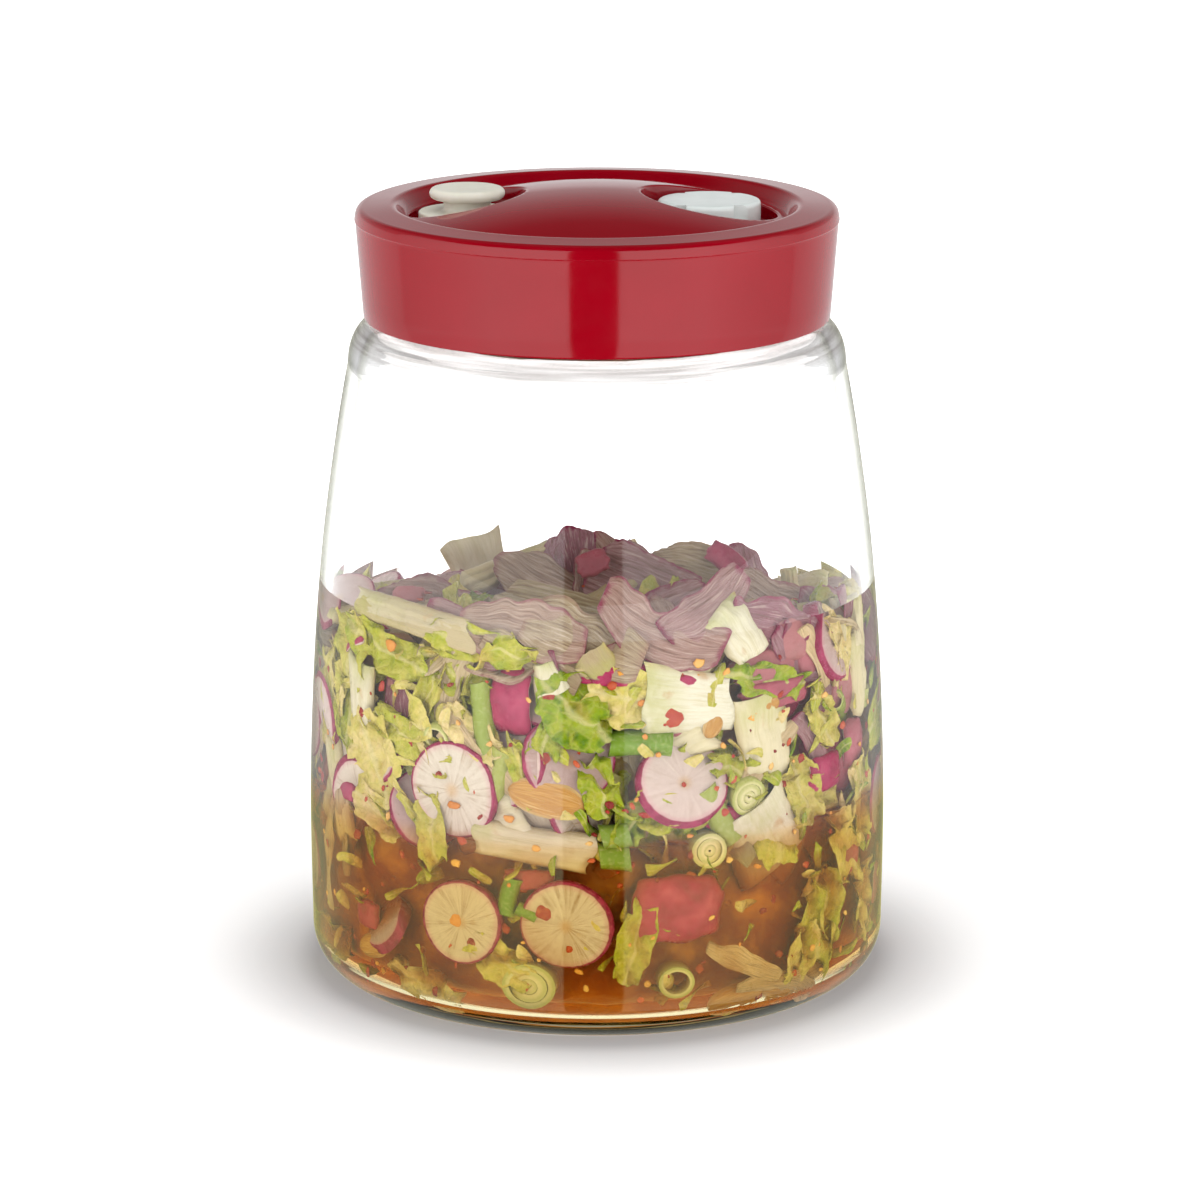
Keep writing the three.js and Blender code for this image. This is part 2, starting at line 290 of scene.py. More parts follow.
class Graph:
    """The node tree of a material or the world, with short ways to add nodes and join them."""

    def __init__(self, name, world=False):
        self.owner = (bpy.data.worlds if world else bpy.data.materials).new(name)
        self.owner.use_nodes = True
        self.tree = self.owner.node_tree
        self.tree.nodes.clear()
        self.output = self.add("ShaderNodeOutputWorld" if world else "ShaderNodeOutputMaterial")

    def add(self, kind, inputs=None, **settings):
        made = self.tree.nodes.new(kind)
        for key, value in settings.items():
            setattr(made, key, value)
        for key, value in (inputs or {}).items():
            if isinstance(value, bpy.types.NodeSocket):
                self.tree.links.new(value, made.inputs[key])
            else:
                made.inputs[key].default_value = value
        return made

    @cached_property
    def place(self):
        """The point in millimetres."""
        coordinates = self.add("ShaderNodeTexCoord").outputs["Object"]
        return self.vectors("MULTIPLY", coordinates, (1 / MM,) * 3)

    @cached_property
    def height(self):
        return self.axes(self.place)[2]

    def axes(self, vector):
        return self.add("ShaderNodeSeparateXYZ", {0: vector}).outputs

    def stretched(self, across, up):
        scale = (across, across, up)
        return self.add("ShaderNodeMapping", {"Vector": self.place, "Scale": scale}).outputs[0]

    def attributes(self, *names):
        return [self.add("ShaderNodeAttribute", attribute_name=name, attribute_type="GEOMETRY").outputs["Fac"]
                for name in names]

    def math(self, operation, first, second=0.0, third=0.0):
        return self.add("ShaderNodeMath", {0: first, 1: second, 2: third}, operation=operation).outputs[0]

    def times(self, first, second, plus=None):
        if plus is None:
            return self.math("MULTIPLY", first, second)
        return self.math("MULTIPLY_ADD", first, second, plus)

    def vectors(self, operation, first, second=(0, 0, 0)):
        made = self.add("ShaderNodeVectorMath", {0: first, 1: second}, operation=operation)
        return made.outputs["Value" if operation == "LENGTH" else "Vector"]

    def ramp(self, factor, *stops):
        """A colour ramp. Each stop is a place with its red, green and blue, or with one grey."""
        made = self.add("ShaderNodeValToRGB", {"Fac": factor})
        stop_list = made.color_ramp.elements
        while len(stop_list) < len(stops):
            stop_list.new(0.5)
        for stop, (place, *colour) in zip(stop_list, stops):
            stop.position = place
            stop.color = (*(colour if len(colour) == 3 else colour * 3), 1)
        return made.outputs["Color"]

    def mix(self, factor, first, second, blend="MIX"):
        colours = [c if isinstance(c, bpy.types.NodeSocket) else (*c, 1) for c in (first, second)]
        inputs = {0: factor, 6: colours[0], 7: colours[1]}
        return self.add("ShaderNodeMix", inputs, data_type="RGBA", blend_type=blend).outputs[2]

    def blend(self, factor, first, second):
        """Mixes two numbers."""
        return self.add("ShaderNodeMix", {0: factor, 2: first, 3: second}, data_type="FLOAT").outputs[0]

    def range(self, value, low, high, start=0.0, end=1.0):
        inputs = {"Value": value, 1: low, 2: high, 3: start, 4: end}
        return self.add("ShaderNodeMapRange", inputs).outputs[0]

    def layer(self, under, over, value, low, high, most=1.0, blend="MIX"):
        """Puts one colour over another, none where the value is low and the most where it is high."""
        return self.mix(self.range(value, low, high, 0.0, most), under, over, blend)

    def noise(self, scale, detail=3.0, vector=None, roughness=0.55):
        inputs = {"Vector": vector or self.place, "Scale": scale, "Detail": detail, "Roughness": roughness}
        return self.add("ShaderNodeTexNoise", inputs).outputs["Fac"]

    def fibres(self, wide, long, scale, detail, roughness=0.55):
        """Fine lines along a piece, others for each piece."""
        across, along, tint = self.attributes("across", "along", "tint")
        place = self.vector(self.times(across, wide), self.times(along, long), tint)
        return self.noise(scale, detail, place, roughness)

    def cells(self, scale, feature="F1", output="Distance", vector=None):
        inputs = {"Vector": vector or self.place, "Scale": scale}
        return self.add("ShaderNodeTexVoronoi", inputs, feature=feature).outputs[output]

    def vector(self, x, y, z=0.0):
        return self.add("ShaderNodeCombineXYZ", {0: x, 1: y, 2: z}).outputs[0]

    def bump(self, height, distance, strength):
        inputs = {"Height": height, "Distance": distance * MM, "Strength": strength}
        return self.add("ShaderNodeBump", inputs).outputs[0]

    def finish(self, shader, socket="Surface"):
        self.tree.links.new(shader.outputs[0], self.output.inputs[socket])
        return self.owner

    def either(self, share, first, second):
        """One shader or the other."""
        return self.add("ShaderNodeMixShader", {0: share, 1: first.outputs[0], 2: second.outputs[0]})

    def bending(self, colour, ior, normal=None, roughness=0.0, kind="ShaderNodeBsdfGlass"):
        """A shader that bends light."""
        inputs = {"Color": colour, "Roughness": roughness, "IOR": ior}
        if normal:
            inputs["Normal"] = normal
        return self.add(kind, inputs)

    def glow(self, colour, strength):
        return self.finish(self.add("ShaderNodeEmission", {"Color": colour, "Strength": strength}))

    def surface(self, inputs):
        return self.finish(self.add("ShaderNodeBsdfPrincipled", inputs))

    def clear_surface(self, shader, shade):
        """The shader for what the camera sees, and a plain clear one that lets light in to the food."""
        path = self.add("ShaderNodeLightPath").outputs
        soft = self.math("MAXIMUM", path["Is Shadow Ray"], path["Is Diffuse Ray"])
        clear = self.add("ShaderNodeBsdfTransparent", {"Color": (*shade, 1)})
        return self.finish(self.either(soft, shader, clear))


def glass_material():
    """Clear glass: olive grey where it turns edge-on, partly its own tint along the long path and partly
    painted shade, waved at the foot, with painted reflection lines of grey at the neck,
    and warm at brine height, where it passes on the brine's colour."""
    graph = Graph("clear_glass")
    near_neck = graph.range(graph.height, NECK_STREAKS_FROM - 1, NECK_STREAKS_FROM + 1)
    near_end = graph.math("MAXIMUM", graph.range(graph.height, 10.0, 2.0), near_neck)
    ripples = graph.noise(0.6, 1.0, graph.stretched(0.05, 0.9))
    relief = graph.times(ripples, graph.times(near_end, 1.6), graph.noise(0.045, 0.0))
    facing = graph.add("ShaderNodeLayerWeight", {"Blend": 0.5}).outputs["Facing"]
    # Edge-on glass turns olive grey: partly the glass's own tint over its long path, partly painted shade for
    # the dark outline
    edge = graph.ramp(
        facing, (0.72, 1.0), (0.85, 0.62, 0.63, 0.56), (0.93, 0.66, 0.66, 0.58), (1.0, 0.9, 0.9, 0.86))
    # Painted reflection: grey lines multiplied into the glass colour at the neck
    streaks = graph.range(graph.noise(1.3, 1.0, graph.stretched(0.03, 1.0)), 0.35, 0.65, 0.25, 1.0)
    edge = graph.mix(graph.times(near_neck, streaks), edge, (0.71, 0.69, 0.68), "MULTIPLY")
    in_brine = graph.range(graph.height, BRINE_LEVEL + 3, BRINE_LEVEL - 5)
    above_foot = graph.range(graph.height, 5.0, 11.0, 0.35, 1.0)
    tone = graph.mix(graph.times(in_brine, above_foot), edge, (1.0, 0.98, 0.56), "MULTIPLY")
    glass = graph.bending(tone, GLASS_IOR, graph.bump(relief, 0.12, 0.3))
    return graph.clear_surface(glass, (0.97, 0.985, 0.975))


def wet_glass_material():
    """The inside of the glass where brine or wet pieces touch it, which bends light only a little."""
    graph = Graph("wetted_glass")
    return graph.clear_surface(graph.bending(WHITE, GLASS_IOR / BRINE_IOR), (1.0, 1.0, 1.0))


def brine_material():
    """Only the level top bends light here. At the glass, the wetted glass does it."""
    graph = Graph("orange_brine")
    at_top = graph.range(graph.height, BRINE_LEVEL - 0.2, BRINE_LEVEL - 0.1)
    normal = graph.bump(graph.noise(0.12, 2.0), 0.5, 0.4)
    level = graph.bending(WHITE, BRINE_IOR, normal, kind="ShaderNodeBsdfRefraction")
    side = graph.add("ShaderNodeBsdfTransparent", {"Color": WHITE})
    medium = graph.add("ShaderNodeVolumeAbsorption", {"Color": (0.96, 0.68, 0.10, 1), "Density": 90.0})
    graph.finish(medium, "Volume")
    return graph.clear_surface(graph.either(at_top, side, level), (1.0, 0.96, 0.9))


def bubble_material():
    graph = Graph("bubbles")
    normal = graph.bump(graph.noise(0.8, 1.0), 0.05, 0.2)
    return graph.clear_surface(graph.bending((1, 0.96, 0.9, 1), 1.22, normal, 0.02), (1, 0.97, 0.92))


def lid_material():
    graph = Graph("red_plastic")
    colour = graph.ramp(graph.noise(0.03), (0.3, 0.24, 0.0002, 0.0050), (0.7, 0.275, 0.0003, 0.0075))
    height = graph.times(graph.noise(2.5), 0.04, graph.noise(0.05, 2.0))
    roughness = graph.range(graph.noise(0.25, 4.0), 0.3, 0.7, 0.07, 0.12)
    return graph.surface({
        "Base Color": colour, "Roughness": roughness, "IOR": 1.5, "Normal": graph.bump(height, 0.12, 0.25)})


def milky_material(name, cloud, dark, light, grain, relief, roughness, ior, reach):
    """A pale, faintly clouded plastic or silicone that lets a little light in."""
    graph = Graph(name)
    colour = graph.ramp(graph.noise(cloud), (0.3, *dark), (0.7, *light))
    return graph.surface({
        "Base Color": colour, "Roughness": roughness, "IOR": ior,
        "Normal": graph.bump(graph.noise(grain), 0.03, relief), "Subsurface Weight": 0.15,
        "Subsurface Radius": reach, "Subsurface Scale": 0.5})


def wet_food(graph, colour, height, distance, roughness, soak=1.0):
    """Finishes a food material: brine soaks its colour, and it has a wet, uneven shine."""
    soaked, murk = graph.attributes("soak", "murk")
    stained = graph.mix(graph.times(soaked, soak), colour, (0.63, 0.41, 0.40), "MULTIPLY")
    sunk = graph.mix(murk, stained, BRINE_COLOUR)
    shine = graph.range(graph.noise(0.35, 4.0), 0.3, 0.7, *roughness)
    return graph.surface({
        "Base Color": sunk, "Roughness": shine, "IOR": FOOD_IOR, "Normal": graph.bump(height, distance, 0.8)})


def radish_material():
    """White flesh with rays from the middle, a fine ring and a magenta skin."""
    graph = Graph("radish_flesh_and_skin")
    across, along, tint = graph.attributes("across", "along", "tint")
    flat = graph.vector(across, along)
    length = graph.vectors("LENGTH", flat)
    offset = graph.vector(graph.times(length, 0.10), graph.times(tint, 7.0), tint)
    rays = graph.noise(9.0, 5.0, graph.vectors("ADD", graph.vectors("NORMALIZE", flat), offset), 0.7)
    flesh = graph.ramp(tint, (0.0, 0.68, 0.58, 0.42), (0.5, 0.68, 0.60, 0.48), (0.7, 0.62, 0.46, 0.42),
                       (1.0, 0.38, 0.24, 0.20))
    dark_rays = graph.times(graph.range(rays, 0.47, 0.66), graph.range(graph.noise(0.28), 0.34, 0.60))
    strong = graph.range(tint, 0.65, 0.35, 0.15, 0.8)
    flesh = graph.mix(graph.times(dark_rays, strong), flesh, (0.34, 0.20, 0.08))
    flesh = graph.layer(flesh, (0.80, 0.72, 0.58), rays, 0.48, 0.25, 0.35)
    flesh = graph.layer(flesh, (0.62, 0.36, 0.12), length, 0.20, 0.06, 0.5)
    wobble = graph.times(graph.noise(0.9, 2.0), 0.05, length)
    flesh = graph.layer(flesh, (0.60, 0.18, 0.25), wobble, 0.84, 0.98, 0.4)
    skin = graph.ramp(graph.noise(0.35, 4.0), (0.3, 0.20, 0.004, 0.035), (0.7, 0.42, 0.03, 0.11))
    colour = graph.layer(flesh, skin, wobble, 0.955, 0.98)
    return wet_food(graph, colour, graph.times(rays, 0.6, graph.noise(1.2)), 0.15, (0.18, 0.35))


def skin_material():
    """Magenta outside with pale scuffs, and pale pink flesh on the inside and the cut sides."""
    graph = Graph("radish_skin")
    side, tint = graph.attributes("side", "tint")
    mottle = graph.noise(0.22, 5.0)
    deep = graph.ramp(mottle, (0.25, 0.22, 0.005, 0.035), (0.5, 0.36, 0.014, 0.075), (0.78, 0.50, 0.06, 0.13))
    dusty = graph.layer(deep, (0.42, 0.20, 0.17), tint, 0.15, 1.0, 0.8)
    flesh = graph.ramp(graph.noise(0.5), (0.3, 0.60, 0.42, 0.36), (0.7, 0.70, 0.58, 0.46))
    colour = graph.layer(flesh, dusty, side, 0.45, 0.6)
    return wet_food(graph, colour, graph.noise(0.8, 4.0), 0.2, (0.2, 0.4), 0.2)


def stem_material():
    """Thick white cabbage stem: long fine ribs, a yellow-green blush at the edges and one end."""
    graph = Graph("cabbage_stem")
    across, along, tint = graph.attributes("across", "along", "tint")
    ribs = graph.fibres(5.0, 0.5, 2.2, 3.0, 0.6)
    white = graph.ramp(tint, (0.0, 0.76, 0.71, 0.54), (0.5, 0.70, 0.60, 0.34), (1.0, 0.36, 0.26, 0.14))
    colour = graph.layer(white, (0.54, 0.46, 0.18), ribs, 0.46, 0.7, 0.45)
    green_end = graph.times(graph.range(along, 0.0, 1.0), graph.range(graph.noise(0.12), 0.35, 0.6))
    colour = graph.mix(graph.times(green_end, 0.7), colour, (0.42, 0.42, 0.08))
    colour = graph.layer(colour, (0.50, 0.36, 0.13), graph.math("ABSOLUTE", across), 0.8, 1.0, 0.45)
    colour = graph.layer(colour, (0.52, 0.26, 0.07), graph.noise(0.16, 5.0), 0.62, 0.72, 0.55)
    return wet_food(graph, colour, graph.times(graph.noise(0.9), 0.5, ribs), 0.3, (0.22, 0.42))


def leaf_material():
    """Crinkled leaf from cream through yellow-green to bright green, with pale veins."""
    graph = Graph("cabbage_leaf")
    across, tint = graph.attributes("across", "tint")
    mottle = graph.noise(0.20, 6.0, None, 0.65)
    hue = graph.times(graph.math("SUBTRACT", mottle, 0.5), 1.1, tint)
    blade = graph.ramp(hue, (0.0, 0.80, 0.62, 0.28), (0.3, 0.66, 0.55, 0.12), (0.6, 0.42, 0.43, 0.024),
                       (0.85, 0.25, 0.35, 0.005), (1.0, 0.10, 0.20, 0.003))
    bent = graph.vectors("ADD", graph.place, graph.vector(mottle, mottle, mottle))
    net = graph.cells(0.30, "DISTANCE_TO_EDGE", "Distance", bent)
    colour = graph.layer(blade, (0.60, 0.55, 0.14), net, 0.14, 0.0, 0.32)
    colour = graph.layer(colour, (0.55, 0.30, 0.08), graph.noise(0.11), 0.58, 0.72, 0.45)
    colour = graph.layer(colour, (0.62, 0.60, 0.34), graph.noise(0.9, 4.0), 0.52, 0.70, 0.5, "MULTIPLY")
    colour = graph.layer(colour, (0.72, 0.62, 0.30), graph.math("ABSOLUTE", across), 0.14, 0.04, 0.5)
    height = graph.times(graph.range(net, 0.0, 0.35), 0.7, graph.noise(0.8, 5.0))
    return wet_food(graph, colour, height, 0.8, (0.15, 0.35), 0.8)


def scallion_material():
    """Green outside, paler inside, with fine lines along the stalk."""
    graph = Graph("scallion")
    side, tint = graph.attributes("side", "tint")
    lines = graph.noise(1.4)
    outside = graph.ramp(tint, (0.0, 0.58, 0.54, 0.22), (0.5, 0.36, 0.38, 0.07), (1.0, 0.14, 0.27, 0.01))
    inside = graph.ramp(tint, (0.0, 0.72, 0.64, 0.34), (1.0, 0.42, 0.44, 0.09))
    colour = graph.layer(inside, outside, side, 0.3, 0.7)
    colour = graph.layer(colour, (0.66, 0.62, 0.30), lines, 0.5, 0.75, 0.35)
    return wet_food(graph, colour, lines, 0.15, (0.15, 0.32), 0.7)


def flake_material():
    graph = Graph("chili_flake")
    tint, = graph.attributes("tint")
    red = graph.ramp(tint, (0.0, 0.20, 0.010, 0.006), (0.6, 0.36, 0.022, 0.010), (1.0, 0.55, 0.10, 0.03))
    colour = graph.layer(red, (0.60, 0.16, 0.05), graph.noise(0.9, 4.0), 0.5, 0.75, 0.6)
    return wet_food(graph, colour, graph.noise(1.6), 0.15, (0.12, 0.3), 0.3)


def seed_material():
    graph = Graph("chili_seed")
    tint, across = graph.attributes("tint", "across")
    body = graph.ramp(tint, (0.0, 0.80, 0.50, 0.16), (0.5, 0.76, 0.36, 0.06), (1.0, 0.62, 0.20, 0.03))
    colour = graph.layer(body, (0.50, 0.17, 0.03), across, 0.7, 1.0, 0.6)
    return wet_food(graph, colour, graph.noise(1.8), 0.1, (0.15, 0.3), 0.4)


def petal_material():
    """Amber onion layers with fine veins running their length."""
    graph = Graph("amber_petal")
    veins = graph.fibres(4.0, 0.4, 2.5, 2.0)
    body = graph.ramp(veins, (0.3, 0.60, 0.33, 0.09), (0.55, 0.47, 0.21, 0.04), (0.75, 0.68, 0.44, 0.17))
    across, = graph.attributes("across")
    colour = graph.layer(body, (0.80, 0.60, 0.30), graph.math("ABSOLUTE", across), 0.75, 1.0, 0.7)
    return wet_food(graph, colour, veins, 0.3, (0.12, 0.28), 0.5)


def shred_material():
    """Thin fibrous shreds from cream and olive to dusty pink and purple, darker at the edges."""
    graph = Graph("fibrous_shred")
    across, along, tint = graph.attributes("across", "along", "tint")
    fibres = graph.fibres(6.0, 0.7, 2.4, 4.0, 0.65)
    body = graph.ramp(tint, (0.0, 0.76, 0.56, 0.28), (0.3, 0.42, 0.34, 0.18), (0.55, 0.40, 0.26, 0.19),
                      (0.8, 0.34, 0.15, 0.18), (1.0, 0.20, 0.03, 0.06))
    colour = graph.layer(body, (0.15, 0.07, 0.04), fibres, 0.48, 0.66, 0.75)
    colour = graph.layer(colour, (0.66, 0.54, 0.44), fibres, 0.46, 0.30, 0.65)
    outline = graph.math("MAXIMUM", graph.math("ABSOLUTE", across), graph.math("ABSOLUTE", along))
    edge = graph.range(graph.times(graph.noise(0.5), 0.3, outline), 1.04, 1.14)
    colour = graph.mix(graph.times(edge, graph.range(tint, 0.3, 0.7)), colour, (0.24, 0.012, 0.06))
    return wet_food(graph, colour, fibres, 0.35, (0.2, 0.4))


def core_material():
    """What lies deep in the heap: orange brine below, a mix of dark olive, brown and plum above: partly the
    pieces' own colours, partly painted shade of the gaps between them.
    """
    graph = Graph("deep_pickles_and_painted_shade")
    mottle = graph.noise(0.09, 4.0)
    brine = graph.ramp(mottle, (0.32, 0.22, 0.036, 0.002), (0.5, *BRINE_COLOUR), (0.66, 0.50, 0.20, 0.02))
    brine = graph.layer(brine, (0.42, 0.13, 0.01), graph.height, 17.0, 6.0, 0.5)
    chunk = graph.add("ShaderNodeSeparateColor", {0: graph.cells(0.13, "F1", "Color")}).outputs[0]
    # The pieces' own colours, darkened as painted shade for pieces lying back in the heap
    jumble = graph.ramp(chunk, (0.0, 0.22, 0.11, 0.02), (0.3, 0.36, 0.26, 0.06), (0.5, 0.28, 0.08, 0.04),
                        (0.7, 0.44, 0.28, 0.10), (1.0, 0.22, 0.04, 0.04))
    # Painted shade: darker patches standing in for the shadowed gaps between pieces
    jumble = graph.layer(jumble, (0.09, 0.045, 0.015), graph.noise(0.5, 4.0), 0.45, 0.7, 0.6)
    rise = graph.times(graph.math("SUBTRACT", mottle, 0.5), 16.0, graph.height)
    colour = graph.layer(brine, jumble, rise, BRINE_LEVEL - 3, BRINE_LEVEL + 7)
    relief = graph.times(graph.noise(0.6, 4.0), 0.4, graph.cells(0.13))
    return graph.surface({
        "Base Color": colour, "Roughness": 0.38, "IOR": FOOD_IOR, "Normal": graph.bump(relief, 1.2, 0.7)})


# Jar, lid, button and valve cap

def glass_jar():
    foot_inner = FOOT_RADIUS - FOOT_RING_WIDTH
    lip = RIM_TOP - RIM_ROUNDING
    outside = [(0, PUSH_UP), (foot_inner * 0.5, PUSH_UP * 0.85), (foot_inner * 0.9, PUSH_UP * 0.35)]
    outside += [(foot_inner, 0), (FOOT_RADIUS, 0)]
    outside += arc((FOOT_RADIUS, HEEL_TOP), WALL_LINE[0][0] - FOOT_RADIUS, HEEL_TOP, -90, 0, 16)
    outside += OUTER_WALL[1:]
    shoulder = (NECK_RADIUS, SHOULDER_START)
    outside += arc(shoulder, SHOULDER_RADIUS - NECK_RADIUS, SHOULDER_TOP - SHOULDER_START, 0, 84, 14)
    outside += [(NECK_RADIUS, SHOULDER_TOP), (NECK_RADIUS, lip)]
    outside += arc((NECK_RADIUS - RIM_ROUNDING, lip), RIM_ROUNDING, RIM_ROUNDING, 0, 90, 5)
    inside = [(0, BASE_THICKNESS), (30, BASE_THICKNESS), (CORNER_RADIUS, BASE_THICKNESS)]
    inside += arc((CORNER_RADIUS, CORNER_HEIGHT), INNER_CORNER, INNER_CORNER, -90, 0, 14)
    heights = [*range(18, 43, 4), BRINE_LEVEL, *range(50, 143, 4)]
    inside += [(outer_radius(z) - WALL, z) for z in heights]
    inside += spline([(outer_radius(145.5) - WALL, 145.5), (54.6, 148.4), (53.0, 151.2), (50.6, 153.4),
                      (NECK_BORE, 156), (NECK_BORE, 160)], 20)
    inside += [(NECK_BORE, lip)]
    inside += arc((NECK_BORE + RIM_ROUNDING, lip), RIM_ROUNDING, RIM_ROUNDING, 180, 90, 5)
    jar = lathe("glass_wall", outside + inside[::-1], 192, glass_material())
    jar.data.materials.append(wet_glass_material())
    for face in jar.data.polygons:
        x, y, z = (value / MM for value in face.center)
        inner = z > BASE_THICKNESS - 0.1 and hypot(x, y) < inner_radius(z) + 0.5
        wet_to = WET_TO + (WET_TO_BACK - WET_TO) * max(y, 0) / SHOULDER_RADIUS
        face.material_index = 1 if inner and z < wet_to else 0
    return jar


def well_cutter(place):
    """A cylinder whose mouth flares to a rounded lip where it meets the dome."""
    x, y, radius = place
    above = DOME_TOP + 6
    profile = [(0, WELL_FLOOR), (radius - WELL_ROUNDING, WELL_FLOOR), (radius, WELL_FLOOR + WELL_ROUNDING)]
    for turn, lift in ((0, 0), (30, 0), (60, 0), (90, 0.02)):
        bend = radians(turn)
        profile.append((radius + LIP * (1 - cos(bend)), DOME_TOP - LIP + LIP * sin(bend) + lift))
    profile += [(radius + LIP + 0.4, above), (0, above)]
    cutter = lathe("well_cutter", profile, 128, None, None, (x, y))
    for vertex in cutter.data.vertices:
        if WELL_FLOOR + 1 < vertex.co.z / MM < DOME_TOP + 1:
            vertex.co.z += (dome_height(hypot(*vertex.co.xy) / MM) - DOME_TOP) * MM
    return cutter


def lid_cap():
    under, edge, step = LID_PLATE_UNDERSIDE, LID_BOTTOM_RADIUS, (STEP_RADIUS, STEP_HEIGHT)
    profile = [(0, under), (20, under), (40, under), (LID_BORE, under), (LID_BORE, LID_BOTTOM + 0.3)]
    profile += [(LID_BORE + 0.3, LID_BOTTOM), (edge - 0.5, LID_BOTTOM), (edge - 0.12, LID_BOTTOM + 0.12)]
    profile += [(edge + 0.03, LID_BOTTOM + 0.5)]
    for share in (0.2, 0.4, 0.6, 0.8, 0.97):
        profile.append((edge + (step[0] - edge) * share, LID_BOTTOM + (step[1] - LID_BOTTOM) * share))
    profile += [(step[0] + out, step[1] + up) for out, up in ((0, -0.12), (0.06, 0.06), (0.2, 0.2))]
    profile += spline([(step[0] + 0.2, step[1] + 0.3), (56.1, 181.1), (55.6, 181.9), (54.8, 182.3),
                       (53.5, 182.42), (50.5, 182.65), (48.3, 182.83)], 34)
    profile += spline([(47.9, 182.86), (47.2, 182.78), (46.6, 182.4), (45.9, 181.5), (45.1, 180.45),
                       (44.6, 179.95), (MOAT_RADIUS, dome_height(MOAT_RADIUS))], 20)
    rings = 34
    radii = [MOAT_RADIUS * ring / rings for ring in range(rings - 1, -1, -1)]
    lid = lathe("lid_shell", profile + [(radius, dome_height(radius)) for radius in radii], 288)
    cut(lid, [well_cutter(BUTTON_WELL), well_cutter(VALVE_WELL)])
    return finished(lid, lid_material(), 42)


def vent_button():
    head, thickness, stalk, flange = 8.8, 2.6, 5.5, 11.4
    half = thickness / 2
    underside = BUTTON_TOP - thickness
    floor = WELL_FLOOR + GAP
    profile = [(0, floor), (flange - 0.3, floor), (flange, floor + 0.3)]
    profile += arc((flange - 0.6, BUTTON_FLANGE_TOP - 0.6), 0.6, 0.6, 0, 90, 6)
    profile += [(stalk + 0.8, BUTTON_FLANGE_TOP)]
    profile += arc((stalk + 0.8, BUTTON_FLANGE_TOP + 0.8), 0.8, 0.8, -90, -180, 5)
    profile += arc((stalk + 0.7, underside - 0.7), 0.7, 0.7, 180, 90, 5)
    profile += arc((head - half, BUTTON_TOP - half), half, half, -90, 90, 16)
    profile += [(head - half - 1.2, BUTTON_TOP - 0.02), (4, BUTTON_TOP - 0.10), (0, BUTTON_TOP - 0.12)]
    cream = milky_material("cream_silicone", 0.18, (0.72, 0.70, 0.59), (0.80, 0.78, 0.68),
                           5.0, 0.3, 0.42, 1.43, (0.004, 0.003, 0.002))
    return lathe("press_button", profile, 96, cream, 40, BUTTON_WELL[:2])


def notch_cutter(centre):
    x, y, z = (s / 2 for s in VALVE_NOTCH_SIZE)
    shape = Shape()
    for i in (-1, 1):
        for j in (-1, 1):
            for k in (-1, 1):
                shape.add((centre[0] + i * x, centre[1] + j * y, centre[2] + k * z))
    shape.faces = [(0, 1, 3, 2), (4, 6, 7, 5), (0, 4, 5, 1), (2, 3, 7, 6), (0, 2, 6, 4), (1, 5, 7, 3)]
    return shape.build("notch_cutter")


def valve_cap():
    floor = WELL_FLOOR + GAP
    profile = [(0, floor), (VALVE_RADIUS, floor), (VALVE_RADIUS, VALVE_TOP - 1.0)]
    profile += arc((VALVE_RADIUS - 1.0, VALVE_TOP - 1.0), 1.0, 1.0, 0, 90, 6)
    profile += [(VALVE_RADIUS - 4, VALVE_TOP), (0, VALVE_TOP)]
    cap = lathe("valve_body", profile, 96, None, 40, VALVE_WELL[:2])
    offset = VALVE_RADIUS * sin(radians(VALVE_NOTCH_ANGLE))
    x, y = VALVE_WELL[:2]
    cut(cap, [notch_cutter((x + across * offset, y + side * VALVE_RADIUS, VALVE_TOP))
              for side in (-1, 1) for across in (-1, 1)])
    rounding = cap.modifiers.new("rounding", "BEVEL")
    rounding.width = 0.35 * MM
    rounding.segments = 3
    rounding.limit_method = "ANGLE"
    rounding.angle_limit = radians(50)
    applied(cap)
    milky = milky_material("milky_plastic", 0.12, (0.70, 0.76, 0.74), (0.79, 0.84, 0.82),
                           3.5, 0.25, 0.24, 1.5, (0.003, 0.003, 0.003))
    return finished(cap, milky, 50)


def brine():
    """The liquid up to its level, reaching just into the glass."""
    bottom, level, corner = BASE_THICKNESS - INTO_WALL, BRINE_LEVEL, INNER_CORNER + INTO_WALL
    profile = [(0, bottom), (CORNER_RADIUS, bottom)]
    profile += arc((CORNER_RADIUS, CORNER_HEIGHT), corner, corner, -90, 0, 12)
    profile += [(inner_radius(z) + INTO_WALL, z) for z in (*range(18, 46, 4), level)]
    profile += [(inner_radius(level) - 0.4, level), (0, level)]
    return lathe("orange_brine", profile, 160, brine_material())


# Shapes of single pieces, in their own axes: x across, y along, z out towards the glass

def disc(radius, thickness):
    """A cut round slice with a slightly uneven outline and rounded edges."""
    shape = Shape()
    waves = [(k, uniform(0, 6.3), uniform(0.006, 0.03) / (k - 1)) for k in (2, 3, 5)]
    half, segments = thickness / 2, 44
    profile = [(0.3, 1), (0.6, 1), (0.8, 1), (0.92, 1), (0.975, 0.95), (1.0, 0.6), (1.0, -0.6),
               (0.975, -0.95), (0.92, -1), (0.7, -1), (0.35, -1)]
    rows = [[shape.add((0, 0, half), 0, 0, 1)]]
    for share, level in profile:
        row = []
        for i in range(segments):
            turn = 2 * pi * i / segments
            reach = radius * share * (1 + sum(a * sin(k * turn + p) for k, p, a in waves))
            x, y = reach * cos(turn), reach * sin(turn)
            lift = noise.noise(Vector((x, y, radius)) * 0.12) * 0.35
            values = share * cos(turn), share * sin(turn), int(level > 0)
            row.append(shape.add((x, y, half * level + lift), *values))
        rows.append(row)
    rows.append([shape.add((0, 0, -half), 0, 0, 0)])
    shape.bridge(rows, True)
    return shape


